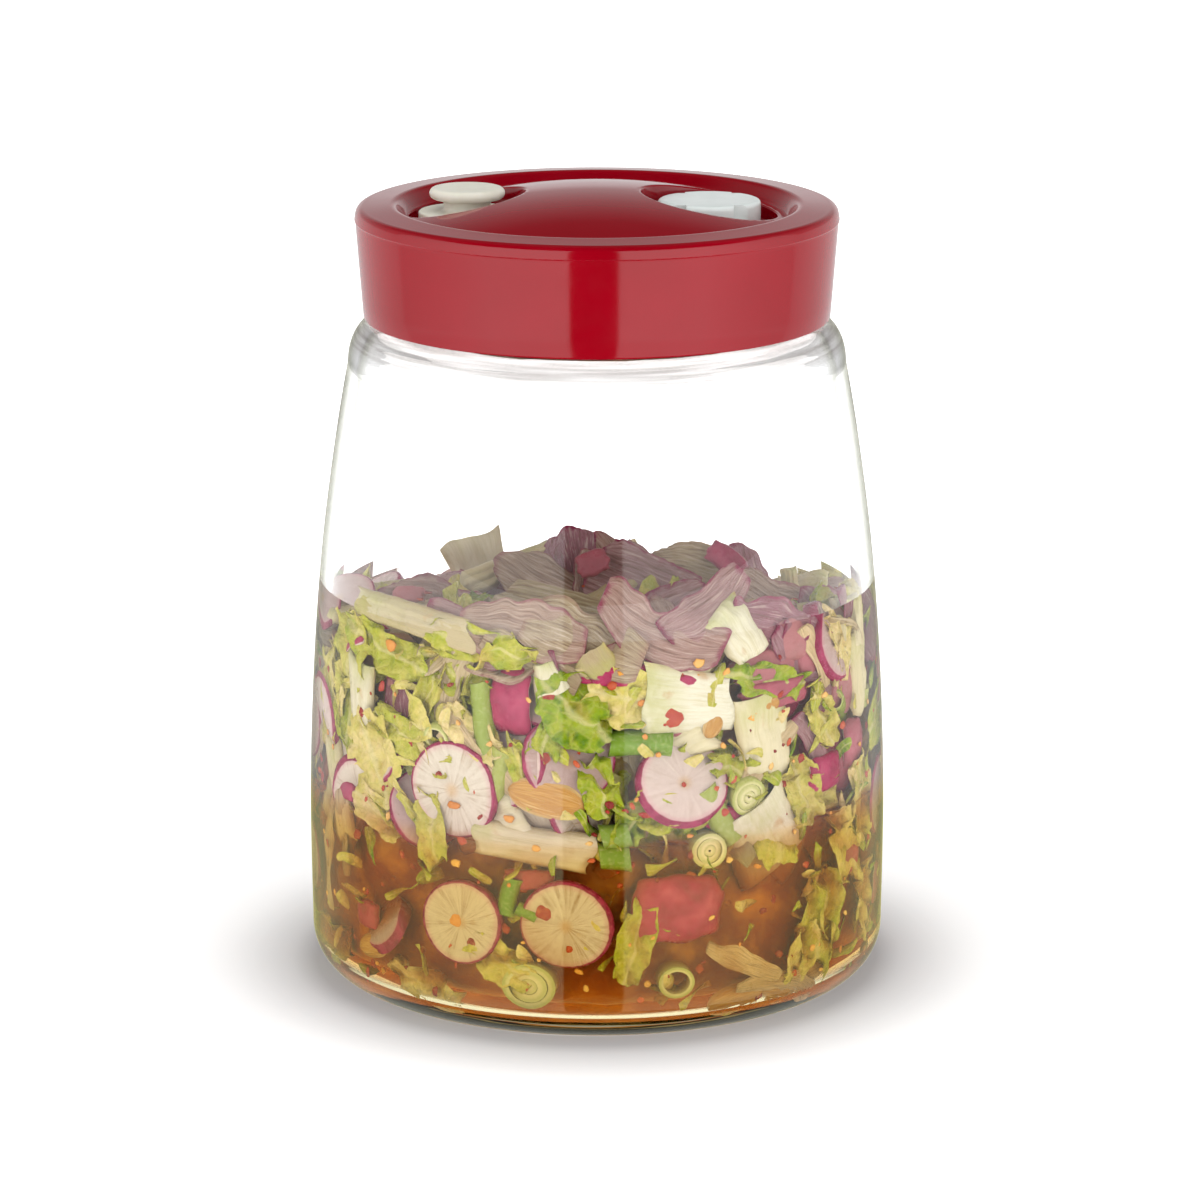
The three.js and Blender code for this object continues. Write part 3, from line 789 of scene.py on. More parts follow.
def sheet(columns, rows, middle, thickness):
    """A closed piece with two faces: middle(s, t) gives a point and thickness(s, t) its depth there,
    with s and t from -1 to 1."""
    shape = Shape()
    rims = []
    for side in (1, 0):
        grid = []
        for j in range(rows + 1):
            line = []
            for i in range(columns + 1):
                s, t = 2 * i / columns - 1, 2 * j / rows - 1
                x, y, z = middle(s, t)
                line.append(shape.add((x, y, z + thickness(s, t) * (side - 0.5)), s, t, side))
            grid.append(line)
        shape.bridge(grid, not side, False)
        right, left = [line[-1] for line in grid[:-1]], [line[0] for line in grid[:0:-1]]
        rims.append(grid[0][:-1] + right + grid[-1][:0:-1] + left)
    shape.bridge(rims, True)
    return shape


def rounded(value, power):
    return max(1 - abs(value) ** power, 0.02) ** 0.5


def stem(length, width, thickness):
    """A cut piece of thick cabbage stem, bowed across, with rounded cut edges."""
    skew, taper, seed = uniform(-0.3, 0.3), uniform(-0.45, 0.2), uniform(0, 50)
    ridges = rand.choice((3, 4, 5))
    bow = 0.2

    def middle(s, t):
        x = width / 2 * s * (1 + taper * t)
        y = length / 2 * t * (1 + 0.06 * sin(3 * s + seed)) + skew * x
        ragged = rough(x * 0.25 + seed, y * 0.25, 0)
        z = bow * width * 0.5 * (0.5 - s * s) + ragged * 0.8 + 0.18 * cos(ridges * pi * s)
        return x + ragged * 0.5, y + ragged * 0.7, z

    def depth(s, t):
        return thickness * rounded(s, 14) * rounded(t, 18) * (1 - 0.35 * s * s)

    return sheet(18, 16, middle, depth)


def leaf(length, width, crinkle=1.0, curl=0.0):
    """A torn leaf piece: ruffled, blistered and folded, thinner than a millimetre."""
    seed, ruffles, fold = uniform(0, 90), uniform(5, 9), uniform(-1, 1)

    def middle(s, t):
        ragged = 1 + 0.30 * rough(s * 2.0 + seed, t * 2.0, 1)
        ragged += 0.10 * rough(s * 6 + seed, t * 6, 4)
        round_off = 1 - 0.28 * (t * t) * (s * s)
        x = width / 2 * s * ragged * round_off
        y = length / 2 * t * ragged * round_off
        edge = max(abs(s), abs(t)) ** 2
        z = crinkle * edge * 1.9 * sin(ruffles * (t + 0.6 * s) + seed)
        here = Vector((x, y, seed))
        z += crinkle * 2.2 * noise.noise(here * 0.14) + crinkle * 0.6 * noise.noise(here * 0.40)
        x += crinkle * 1.3 * noise.noise(here * 0.25 + Vector((7, 0, 0)))
        y += crinkle * 1.3 * noise.noise(here * 0.25 + Vector((0, 9, 0)))
        z -= fold * 0.035 * x * abs(x)
        turn = curl * x / width
        return x * cos(turn), y, z + x * sin(turn)

    def depth(s, t):
        return 0.45 + 0.9 * max(0, 1 - abs(s) * 5) * (1 - t) * 0.5

    return sheet(24, 16, middle, depth)


def petal(length, width):
    """A pointed boat of an onion layer."""
    seed = uniform(0, 50)
    cup, thickness = 1.6, 1.1

    def middle(s, t):
        taper = (1 - abs(s) ** 2.4) ** 0.6
        x, y = length / 2 * s, width / 2 * t * max(taper, 0.05)
        return x, y, cup * (1 - t * t) * taper + 0.3 * rough(x * 0.2, y * 0.2, seed)

    shape = sheet(24, 10, middle, lambda s, t: thickness * rounded(t, 4) * rounded(s, 4))
    shape.values = [(across, along, side) for along, across, side in shape.values]
    return shape


def rind(radius, width, height, thickness=2.0):
    """A curved piece cut from the outside of a radish, its skin outwards."""
    seed = uniform(0, 50)

    def middle(s, t):
        ragged = 1 + 0.16 * rough(s * 1.8 + seed, t * 1.8, 2) - 0.16 * (s * t) ** 2
        x, y = width / 2 * s * ragged, height / 2 * t * ragged
        reach = min(hypot(x, y), radius * 0.98)
        return x, y, sqrt(radius ** 2 - reach ** 2) - radius + 0.6

    return sheet(18, 16, middle, lambda s, t: thickness * rounded(s, 10) * rounded(t, 10))


def shred(length, width, thickness=0.7, wave=1.0, columns=6, rows=34):
    """A long thin wavy strip."""
    seed, bend = uniform(0, 90), uniform(-0.8, 0.8)

    def middle(s, t):
        y = length / 2 * t
        ragged = rough(y * 0.2, seed, s)
        swell = 1 - 0.45 * t ** 4
        x = width / 2 * s * swell * (1 + 0.35 * ragged) + bend * length * 0.16 * t * t
        z = wave * (1.5 * rough(y * 0.14, x * 0.1, seed) + 0.6 * s * sin(y * 0.4 + seed))
        return x + 0.5 * ragged, y, z

    return sheet(columns, rows, middle, lambda s, t: thickness * rounded(s, 4))


def flap(length, width):
    """A broad thin translucent slice, gently waved, with a nibbled edge."""
    seed, cup = uniform(0, 90), uniform(-0.012, 0.02)
    thickness = 1.1

    def middle(s, t):
        ragged = 1 + 0.22 * rough(s * 1.6 + seed, t * 1.6, 5) + 0.05 * rough(s * 9 + seed, t * 9, 2)
        corner = 1 - 0.22 * (s * t) ** 2
        x, y = width / 2 * s * ragged * corner, length / 2 * t * ragged * corner
        z = 2.0 * rough(x * 0.09, y * 0.09, seed) + cup * (x * x + y * y)
        return x, y, z + 0.25 * rough(x * 0.6, y * 0.15, seed)

    return sheet(16, 22, middle, lambda s, t: thickness * rounded(s, 8) * rounded(t, 8))


def pipe(radius, wall, length, bend=0.0, segments=26, rows=6, squash=1.0):
    """A hollow stalk along y, open at both ends."""
    shape = Shape()
    tilt = uniform(-0.25, 0.25)
    rings = []
    levels = [2 * level / rows - 1 for level in range(rows + 1)]
    for reach, outside in ((radius, 1), (radius - wall, 0)):
        for t in levels if outside else levels[::-1]:
            ring = []
            for across, out in around(segments):
                x, z = reach * across, reach * out * squash
                y = length / 2 * t + tilt * x * abs(t)
                ring.append(shape.add((x + bend * y * y / length, y, z), across, t, outside))
            rings.append(ring)
    shape.bridge(rings + rings[:1], True)
    return shape


def chip(radius, thickness, corners):
    """A small flat flake with an uneven outline, a little curled."""
    shape = Shape()
    start, stretch, curl = uniform(0, 6.3), uniform(0.5, 0.95), uniform(0, 0.12)
    outline = []
    for i in range(corners * 2):
        turn = start + pi * (i + uniform(-0.25, 0.25)) / corners
        reach = radius * uniform(0.72, 1.05)
        outline.append((reach * cos(turn), reach * sin(turn) * stretch))
    half = thickness / 2
    rows = [[shape.add((0, 0, half), 0, 0, 1)]]
    for share, z in ((0.8, half), (1.0, 0.1 * thickness), (1.0, -0.1 * thickness), (0.8, -half)):
        rows.append([shape.add((x * share, y * share, z - curl * x * x * share), share, 0, int(z > 0))
                     for x, y in outline])
    rows.append([shape.add((0, 0, -half), 0, 0, 0)])
    shape.bridge(rows, True)
    return shape


# Placing pieces

def soft_limit(value, limit, softness=0.3):
    """The value, held smoothly under the limit."""
    over = (limit - value) / softness
    if abs(over) > FAR_OVER:
        return min(value, limit)
    return limit - softness * log1p(exp(over))


class Kind(Shape):
    """All the pieces of one kind, joined in one mesh."""

    def __init__(self, name, material):
        super().__init__()
        self.name, self.material = name, material

    def put(self, shape, matrix, tint, press):
        start = len(self.points)
        for point, values in zip(shape.points, shape.values):
            x, y, z = matrix @ Vector(point)
            z = -soft_limit(-z, -(BASE_THICKNESS - 0.1))
            reach = hypot(x, y)
            held = soft_limit(reach, inner_radius(z) + SQUEEZE - press)
            scale = held / reach if reach > 1 else 1
            self.add((x * scale, y * scale, z), *values, tint)
        self.faces += [[c + start for c in face] for face in shape.faces]

    def join(self):
        made = self.build(self.name, self.material, 55)
        rows = [(*values, murk_at(*point), soak_at(point[2]))
                for point, values in zip(self.points, self.values)]
        for name, numbers in zip(("across", "along", "side", "tint", "murk", "soak"), zip(*rows)):
            layer = made.data.attributes.new(name, "FLOAT", "POINT")
            layer.data.foreach_set("value", numbers)
        body_piece(made, "pickle_heap")


def murk_at(x, y, z):
    """How much cloudy brine lies between this point and the glass, 0 to 1."""
    if z > BRINE_LEVEL + SURFACE_BLUR:
        return 0.0
    depth = max(inner_radius(z) - hypot(x, y), 0)
    share = 1 - exp(-(depth / CLEAR_DEPTH) ** 1.3)
    return share * min((BRINE_LEVEL + SURFACE_BLUR - z) / (2 * SURFACE_BLUR), 1)


def soak_at(z):
    """How far brine has stained a point at this height: strong below the level, fading above it."""
    return 0.62 if z < BRINE_LEVEL else 0.12 + 0.5 * exp((BRINE_LEVEL - z) / 7)


def wall_matrix(azimuth, height, depth, spin=0.0, lean=0.0, swing=0.0):
    """Sets a piece at the wall: spun in its plane, leaning its top in, and swung to face +X."""
    turn = radians(azimuth)
    right = Vector((cos(turn), sin(turn), 0))
    out = Vector((sin(turn), -cos(turn), 0))
    basis = Matrix((right, Vector((0, 0, 1)), out)).transposed()
    tilt = Matrix.Rotation(radians(-lean), 3, "X") @ Matrix.Rotation(radians(swing), 3, "Y")
    rotation = (basis @ tilt @ Matrix.Rotation(radians(spin), 3, "Z")).to_4x4()
    centre = out * (inner_radius(height) - depth) + Vector((0, 0, height))
    return Matrix.Translation(centre) @ rotation


def lying_matrix(x, y, z, spin=0.0, tilt_x=0.0, tilt_y=0.0):
    rotation = Matrix.Rotation(radians(tilt_x), 4, "X") @ Matrix.Rotation(radians(tilt_y), 4, "Y")
    return Matrix.Translation((x, y, z)) @ rotation @ Matrix.Rotation(radians(spin), 4, "Z")


def heap_top(x, y):
    """The height of the heap's bare core: level at the front, lower towards the back."""
    back = max(y, 0) / HEAP_REACH
    lumps = 3.0 * rough(x * 0.05, y * 0.05, 3) + 1.6 * rough(x * 0.14, y * 0.14, 8)
    return HEAP_HEIGHT - HEAP_FALL * back + lumps


def heap_core():
    """The lumpy body behind the pieces at the glass."""
    turns = [(sine, -cosine) for cosine, sine in around(180)]
    levels, rings = 54, 16
    shape = Shape()
    rows = [[shape.add((0, 0, CORE_FOOT))]]
    for level in range(levels + 1):
        height = CORE_FOOT + (CORE_TOP - BASE_THICKNESS) * level / levels
        row = []
        for ux, uy in turns:
            here = Vector((ux * HEAP_REACH, uy * HEAP_REACH, height))
            lumps = noise.noise(here * 0.10) * 2.2 + noise.noise(here * 0.22) * 1.3
            radius = inner_radius(height) - CORE_DEPTH + lumps
            top = heap_top(ux * radius, uy * radius) - 2
            row.append(shape.add((ux * radius, uy * radius, min(height, top))))
        rows.append(row)
    for ring in range(1, rings + 1):
        share = 1 - ring / rings
        radius = (inner_radius(CORE_TOP) - CORE_DEPTH) * share
        places = [(ux * radius, uy * radius) for ux, uy in (turns if share else [(0, 0)])]
        rows.append([shape.add((x, y, heap_top(x, y) + 2.0 * (1 - share))) for x, y in places])
    shape.bridge(rows)
    body_piece(shape.build("heap_core", core_material()), "pickle_heap")


LEAF_FINISH = leaf_material()
KINDS = {
    "radish": Kind("radish_slices", radish_material()),
    "rind": Kind("radish_skin", skin_material()),
    "stem": Kind("cabbage_stems", stem_material()),
    "leaf": Kind("cabbage_leaves", LEAF_FINISH),
    "scallion": Kind("scallion_cuts", scallion_material()),
    "flake": Kind("chili_flakes", flake_material()),
    "seed": Kind("chili_seeds", seed_material()),
    "petal": Kind("amber_petals", petal_material()),
    "shred": Kind("fibrous_shreds", shred_material()),
    "crumb": Kind("leaf_crumbs", LEAF_FINISH),
}


def put(kind, shape, matrix, tint, press=0.0):
    """Adds a shape to its kind, moved by the matrix and pressed inside the glass by this much."""
    KINDS[kind].put(shape, matrix, tint, press)


# What the photograph shows against the glass. Each row has azimuth, height, depth, tint and sizes,
# then spin, lean and swing as far as they aren't 0.

# Sizes: radius
RADISH_FRONT = [
    (-30, 57.5, 2.2, 0.4, (11.2,), 0, -4, -2), (-28, 26.5, 1.7, 0.15, (10.0,)),
    (-6, 28, 1.8, 0.3, (10.6,), 20, -7, -7), (17.5, 60, 2.6, 0.62, (10.6,), 0, 24, 8),
    (-6, 66, 3.4, 0.9, (10.5,), 0, 12, 10), (-48, 21, 3.4, 0.9, (7.5,), 0, 40, -30),
    (-8, 83, 7.5, 0.9, (12,), 0, 30, -8), (60, 85.5, 4.0, 0.85, (9.5,), 30, 20, 20),
]
# Sizes: width and height
RIND_FRONT = [
    (16.5, 31, 1.1, 0.05, (21, 16)), (54, 56.5, 2.0, 0.1, (13, 9), 0, 0, 10),
    (-18, 79, 1.4, 0.2, (10, 16), 0, 0, -12), (63, 33, 2.6, 0.4, (9, 7)), (40, 78, 1.8, 0.5, (19, 6.5)),
    (27, 51, 3.0, 0.1, (10, 6)), (-14, 38, 3.0, 0.2, (12, 5)), (3, 86, 2.0, 0.0, (18, 5)),
    (46, 89.5, 3.0, 0.9, (14, 10), 0, 10), (38, 84.5, 3.0, 0.8, (18, 8), 0, 8), (51, 83, 3.2, 0.7, (10, 9)),
    (62, 74, 3.4, 0.9, (10, 14)), (66, 60, 3.2, 0.6, (9, 12)), (-45, 76, 5.0, 1.0, (12, 15)),
    (-62, 50, 2.4, 0.2, (8, 5)), (-54, 22, 2.6, 0.2, (8, 7)),
]
# Sizes: length, width and thickness
STEM_FRONT = [
    (-13, 46, 2.6, 0.35, (27, 9, 3.5), 84), (36.5, 45, 3.4, 0.1, (19, 19, 4.0), 28, -16),
    (19, 79, 2.0, 0.0, (21, 15, 3.6), 82, -6), (31, 93.5, 2.6, 0.1, (14, 11, 3.2), 30, 20),
    (20, 86.5, 3.0, 0.3, (14, 9, 3.0), -35, 16), (-57, 73, 2.2, 0.2, (18, 9, 3.4), 4),
    (-10, 85, 2.8, 0.1, (8, 7, 6.0), 20, 10, 20), (-43, 94.5, 2.6, 0.75, (36, 7, 3.4), 86, 10),
    (36, 69, 1.8, 0.35, (19, 14, 2.2), 8), (69, 76, 2.6, 0.5, (20, 9, 3.0), 5),
    (63, 85, 2.6, 0.6, (13, 6, 2.6), 10), (-66, 49, 3.0, 0.5, (24, 9, 3.2), 20),
]
# Sizes: length, width, crinkle and curl
LEAF_FRONT = [
    (-4, 78, 1.2, 0.86, (20, 15, 1.8, 0.5), 50), (-9, 72, 1.6, 0.7, (14, 9, 1.2, 0.8), -30),
    (5, 81, 2.0, 0.24, (17, 13, 0.5, 0.2), 75), (-35, 47.5, 0.6, 0.42, (18, 10, 1.3, 1.0), 12),
    (0.5, 60.5, 1.2, 0.7, (13, 10, 1.8, 1.0), 15), (11, 54, 2.0, 0.6, (13, 9, 1.7, 1.0), 60),
    (6, 50, 1.6, 0.78, (12, 8, 1.7, 1.0), -20), (-15, 63, 1.4, 0.5, (18, 7, 0.9, 0.9), 20),
    (61, 37, 1.6, 0.2, (20, 12, 1.4, 0.6), 20), (46, 54, 2.2, 0.35, (18, 12, 1.2, 0.8), 15),
    (7.5, 23.5, 1.2, 0.5, (20, 10, 0.8, 1.1), -14), (-19.5, 18, 1.6, 0.35, (18, 10, 1.4, 0.8), 60),
    (52, 22, 1.4, 0.5, (24, 15, 1.7, 0.5), -12), (46, 15, 1.8, 0.2, (16, 9, 1.5, 0.7), -30),
    (-50, 48, 2.0, 0.1, (18, 10, 0.6, 0.8), 70), (-51, 60, 1.8, 0.22, (24, 18, 0.8, 0.5), 30),
    (-40, 67, 1.8, 0.5, (26, 9, 1.3, 0.6), 70), (-50, 86.5, 2.0, 0.56, (30, 11, 1.3, 0.7), 78),
    (-62, 83, 2.6, 0.42, (20, 16, 1.2, 0.5)), (-37, 78, 2.4, 0.42, (20, 7, 1.0, 1.0), -25),
    (-25, 91.5, 1.8, 0.6, (28, 9, 1.2, 0.8), 82), (-30, 84, 2.6, 0.6, (20, 9, 1.2, 0.6), 66),
    (-26, 71, 1.8, 0.08, (18, 9, 1.1, 1.0), 55), (38, 81.5, 1.4, 0.82, (22, 9, 1.3, 0.8), 75),
    (59, 86.5, 1.8, 0.04, (15, 7, 0.9, 1.8), 20), (61, 82, 2.0, 0.06, (17, 8, 0.9, 1.6), -20),
    (53, 69, 2.0, 0.3, (16, 10, 1.3, 0.7), 30), (30, 61, 2.0, 0.6, (18, 9, 1.2, 0.7), 60),
    (68, 46, 2.2, 0.3, (22, 12, 1.2, 0.6)), (-38, 9, 1.8, 0.12, (20, 8, 1.3, 0.7), 74),
    (-70, 70, 2.4, 0.35, (24, 14, 1.2, 0.5)), (70, 20, 2.4, 0.2, (20, 9, 1.3, 0.6), 10),
]
# Sizes: radius, length and layers
RING_FRONT = [
    (31.6, 56, 2.4, 0.45, (4.6, 5, 3), 0, 78, 10), (22.7, 44.5, 2.8, 0.12, (4.2, 6, 3), 0, 86, -4),
    (16, 14, 2.6, 0.25, (4.2, 5, 1), 0, 80, 10), (-13.7, 13, 2.6, 0.3, (6.2, 5, 3), 0, 86),
    (-34, 69.5, 2.6, 0.4, (3.4, 5, 1), 0, 70, 20),
]
# Sizes: radius and length
TUBE_FRONT = [
    (3.6, 44, 2.6, 0.92, (3.1, 7), 84), (3.8, 48.5, 2.6, 0.85, (3.0, 6.5), 95),
    (25, 52, 2.8, 0.6, (3.0, 15), 28), (-18, 34, 2.2, 1.0, (2.2, 9), -12),
    (-14, 30.5, 1.9, 0.95, (1.8, 5), 70), (-24, 74, 3.2, 0.7, (2.6, 18), 5),
    (9, 70, 4.2, 0.95, (3.0, 14), 88), (-21, 60, 3.4, 0.5, (3.0, 16), -20),
]
# Sizes: length and width, for these two
SHRED_FRONT = [
    (31, 16, 0.9, 0.0, (22, 5), 62), (41, 9.5, 0.9, 0.02, (26, 4.6), 76), (47, 8, 1.0, 0.05, (16, 4), 100),
    (-24, 66, 1.6, 0.04, (22, 5.5), 55), (-28, 70, 1.6, 0.08, (16, 4), 40),
    (-63, 42, 1.4, 0.15, (26, 3.5), 8), (-70, 34, 1.6, 0.1, (30, 4), -6),
    (52, 84.5, 1.6, 0.05, (18, 5), 30), (37, 64, 1.6, 0.1, (20, 5), -50),
    (13, 94, 3.2, 0.62, (30, 13), 62, 18), (-3, 93, 3.0, 0.4, (28, 14), 70, 22),
    (-16, 95, 3.4, 0.55, (30, 13), 84, 20), (26, 98.5, 5.0, 0.7, (26, 10), -62, 30),
    (40, 93.5, 3.2, 0.9, (22, 10), 70, 10), (52, 87.5, 2.8, 0.85, (22, 9), 60),
    (-32, 81, 2.2, 0.18, (22, 7), -15), (46, 84.5, 2.6, 0.8, (20, 7), 50),
    (57, 80, 2.8, 0.75, (20, 8), -10), (66, 87.5, 2.6, 0.9, (18, 8), 10), (50, 65, 2.6, 0.75, (18, 6), 30),
    (-46, 77, 4.2, 0.95, (14, 9), 10), (-14, 88, 2.8, 0.36, (24, 9), 64), (10, 86.5, 3.0, 0.6, (24, 8), 70),
    (-30, 92.5, 4.0, 0.7, (24, 10), 70, 20),
]
PETAL_FRONT = [
    (-10, 57.6, 1.2, 0.5, (18, 9.2), -12), (-52, 15, 2.0, 0.5, (11, 6), 15), (37, 76, 1.4, 0.5, (7, 5), 10),
    (24, 73, 1.2, 0.5, (6, 4.5), 60), (30, 7.5, 1.4, 0.5, (15, 6), 8), (40, 7.5, 1.4, 0.5, (10, 5), -12),
]
# Azimuth, height and radius of the larger flakes and seeds that show
FLAKE_FRONT = [
    (-10.5, 31, 2.4), (-25.5, 22, 1.6), (-14.5, 12.8, 1.6), (15.5, 76.5, 3.2), (-10, 82, 2.4),
    (17.5, 84.5, 1.6), (-10.3, 67, 1.8), (9.5, 54, 1.7), (26, 53, 1.3), (46, 36.5, 1.3), (-4, 66, 1.2),
    (-27.5, 46, 1.4), (3, 84, 1.3), (45, 62, 1.4), (-49, 78, 2.0), (-33, 60.5, 1.1), (2.5, 56.6, 1.2),
    (40, 78, 1.2),
]
SEED_FRONT = [
    (-29.5, 54, 1.9), (-29, 26.8, 2.0), (-12, 46, 1.3), (-17.5, 52.5, 1.6), (21, 88, 1.7), (-29, 40.5, 1.6),
    (33, 74, 1.6), (-47, 88, 1.9), (53, 75, 1.5), (-1.6, 47.5, 1.1), (27, 41.5, 1.0), (37.6, 41, 1.0),
]


def at_wall(rows, kind, make, press=0.0):
    for azimuth, height, depth, tint, sizes, *turns in rows:
        put(kind, make(*sizes), wall_matrix(azimuth, height, depth, *turns), tint, press)


def front_rind(width, height):
    return rind(max(RADISH_RADIUS, width * 1.2), width, height, 2.2)


def front_pieces():
    at_wall(RADISH_FRONT, "radish", lambda radius: disc(radius, 3.4))
    at_wall(RIND_FRONT, "rind", front_rind, 0.05)
    at_wall(STEM_FRONT, "stem", stem)
    at_wall(LEAF_FRONT, "leaf", leaf)
    for azimuth, height, depth, tint, sizes, *turns in RING_FRONT:
        put_ring(wall_matrix(azimuth, height, depth, *turns), tint, *sizes)
    at_wall(TUBE_FRONT, "scallion",
            lambda radius, length: pipe(radius, STALK_WALL, length, uniform(-0.3, 0.3)))
    at_wall(SHRED_FRONT, "shred", lambda length, width: shred(length, width, 0.9))
    at_wall(PETAL_FRONT, "petal", petal)
    for azimuth, height, radius in FLAKE_FRONT:
        shape = chip(radius, 0.5, 4)
        put("flake", shape, wall_matrix(azimuth, height, 0.05, uniform(0, 360)), rand.random(), -ON_GLASS)
    for azimuth, height, radius in SEED_FRONT:
        put("seed", chip(radius, 0.9, 6), wall_matrix(azimuth, height, 0.2), rand.random(), -ON_GLASS)


def put_ring(matrix, tint, radius, length, layers=3):
    """A scallion slice: one wall or three, each close inside the last."""
    oval = uniform(0.82, 1.0)
    for layer, (reach, wall) in enumerate([(1.0, 0.27), (0.71, 0.36), (0.33, 0.26)][:layers]):
        shape = pipe(radius * reach, radius * wall, length * (1 - 0.05 * layer), 0.0, 28, 3, oval)
        put("scallion", shape, matrix, max(tint - 0.2 * layer, 0))


def wall_fill():
    """Pieces against the glass all the way round, deeper behind the ones placed at the front."""
    rows, columns, lowest, row_height = 9, 30, 11, 10.2
    for row in range(rows):
        for column in range(columns):
            azimuth = -180 + 360 * (column + 0.5 * (row % 2) + uniform(-0.3, 0.3)) / columns
            height = lowest + row * row_height + uniform(-4, 4)
            front = abs(azimuth) < FRONT_AZIMUTH
            depth = uniform(5.0, 7.5) if front else uniform(1.6, 4.2)
            if height > (85 if abs(azimuth) < HIGH_AZIMUTH else 79):
                continue
            if height < BRINE_LEVEL - 4 and (front or rand.random() < 0.42):
                continue
            turns = uniform(0, 180), uniform(-30, 30), uniform(-30, 30)
            plum = front and azimuth > 22 and height > 58
            scatter_one(wall_matrix(azimuth, height, depth, *turns), height, plum)


def scatter_one(matrix, height, plum):
    """One random piece. The plum corner has more radish skin and purple shreds, and less leaf."""
    draw = rand.random()
    if plum and draw < 0.28:
        put("shred", flap(uniform(16, 24), uniform(8, 13)), matrix, uniform(0.5, 1))
    elif plum and draw < 0.5:
        put("rind", rind(RADISH_RADIUS, uniform(9, 16), uniform(6, 12)), matrix, uniform(0.4, 1))
    elif plum and draw < 0.7:
        put("radish", disc(uniform(8.5, 11), 2.4), matrix, uniform(0.6, 1))
    elif draw < 0.34:
        tint = min(max(rand.gauss(0.42, 0.2), 0), 0.95)
        shape = leaf(uniform(18, 30), uniform(11, 18), uniform(0.6, 1.2), uniform(0, 1.3))
        put("leaf", shape, matrix, tint)
    elif draw < 0.52:
        put("stem", stem(uniform(14, 26), uniform(8, 16), uniform(2.6, 4.2)), matrix, uniform(0, 0.9))
    elif draw < 0.70:
        put("radish", disc(uniform(8.5, 11), uniform(2.2, 3.6)), matrix, rand.random())
    elif draw < 0.78:
        put("rind", rind(RADISH_RADIUS, uniform(8, 15), uniform(6, 13)), matrix, rand.random())
    elif draw < 0.86 and rand.random() < 0.5:
        radius, length = uniform(3.2, 4.8), uniform(4, 7)
        put_ring(matrix, uniform(0, 0.6), radius, length)
    elif draw < 0.86:
        shape = pipe(uniform(2, 3), STALK_WALL, uniform(8, 18), uniform(-0.4, 0.4))
        put("scallion", shape, matrix, uniform(0.3, 1))
    elif draw < 0.97:
        tint = uniform(0, 0.35) if height < 80 else uniform(0.2, 1)
        put("shred", shred(uniform(14, 28), uniform(3, 8)), matrix, tint)
    else:
        put("petal", petal(uniform(9, 15), uniform(5, 8)), matrix, 0.5)


# What lies on top. Each row has x, y, z, tint, length and width, then spin, tilt back and tilt sideways.
TOP_FLAPS = [
    (-39, -4, 85, 0.62, 27, 17, 82, 62, 8), (-6, 8, 95.5, 0.85, 15, 13, 10, 72),
    (-1, 4, 92.5, 0.6, 13, 10, -10, 66, 10), (-11, 2, 89.5, 0.5, 28, 14, 62, 62, 10),
    (12, 0, 90.5, 0.72, 30, 17, 66, 66, -12), (24, 7, 91, 0.36, 25, 17, 84, 58, 8),
    (-4, -24, 85.5, 0.32, 42, 20, 74, 58, 6), (15, -18, 84, 0.72, 34, 18, -62, 62),
    (-28, -26, 82, 0.3, 34, 16, 70, 60), (42, -6, 86, 0.55, 26, 16, 66, 60, 8),
    (56, -8, 84, 0.85, 22, 14, 50, 60, 10), (22, -36, 81, 0.5, 26, 14, -26, 64),
    (34, -26, 82, 0.45, 30, 15, -60, 62), (-52, -10, 84, 0.36, 22, 14, 80, 60),
    (-20, 10, 86, 0.9, 20, 14, 20, 50), (8, 22, 86.5, 0.6, 30, 18, 40, 40),
    (-30, 22, 83, 0.7, 28, 18, 80, 30), (34, 24, 83, 0.8, 28, 18, 10, 30),
]
TOP_STEMS = [
    (-21, 8, 94, 0.62, 23, 5.5, -66, 70), (-46, 4, 89, 0.7, 14, 6, -80, 60),
    (46, 0, 91, 0.75, 9, 4, 10, 80), (58, -22, 88, 0.4, 12, 6, 20, 70, 10),
    (30, -30, 86, 0.3, 20, 3.5, -62, 66),
]
TOP_RINDS = [
    (31, 6, 96, 0.2, 11, 6, -35, 66), (-1, -2, 97, 0.6, 8, 6, 20, 66), (-44, -8, 91, 0.8, 8, 4, 0, 60),
]
TOP_LEAVES = [
    (35, 0, 89, 0.85, 12, 9, 30, 60), (-26, -6, 88, 0.8, 11, 6, 80, 60), (60, -4, 88, 0.3, 12, 8, 0, 60),
    (-58, 2, 86, 0.45, 12, 9, 50, 60), (47, -14, 87, 0.6, 12, 8, 70, 60),
]
# Distance from the middle and number of the random pieces between them
TOP_RINGS = [(6, 2), (20, 6), (34, 10), (48, 15), (57, 18)]


def on_top(rows, kind, make):
    for x, y, z, tint, length, width, *turns in rows:
        put(kind, make(length, width), lying_matrix(x, y, z, *turns), tint)


def top_pieces():
    on_top(TOP_FLAPS, "shred", flap)
    on_top(TOP_STEMS, "stem", lambda length, width: stem(length, width, 3.0))
    on_top(TOP_RINDS, "rind", lambda width, height: rind(RADISH_RADIUS, width, height))
    on_top(TOP_LEAVES, "leaf", leaf)
    for reach, count in TOP_RINGS:
        for i in range(count):
            turn = 2 * pi * (i + uniform(-0.3, 0.3)) / count
            radius = reach + uniform(-4, 4)
            x, y = radius * sin(turn), -radius * cos(turn)
            z = heap_top(x, y) + uniform(0, 3.5)
            top_one(lying_matrix(x, y, z, uniform(0, 360), uniform(-35, 35), uniform(-35, 35)))


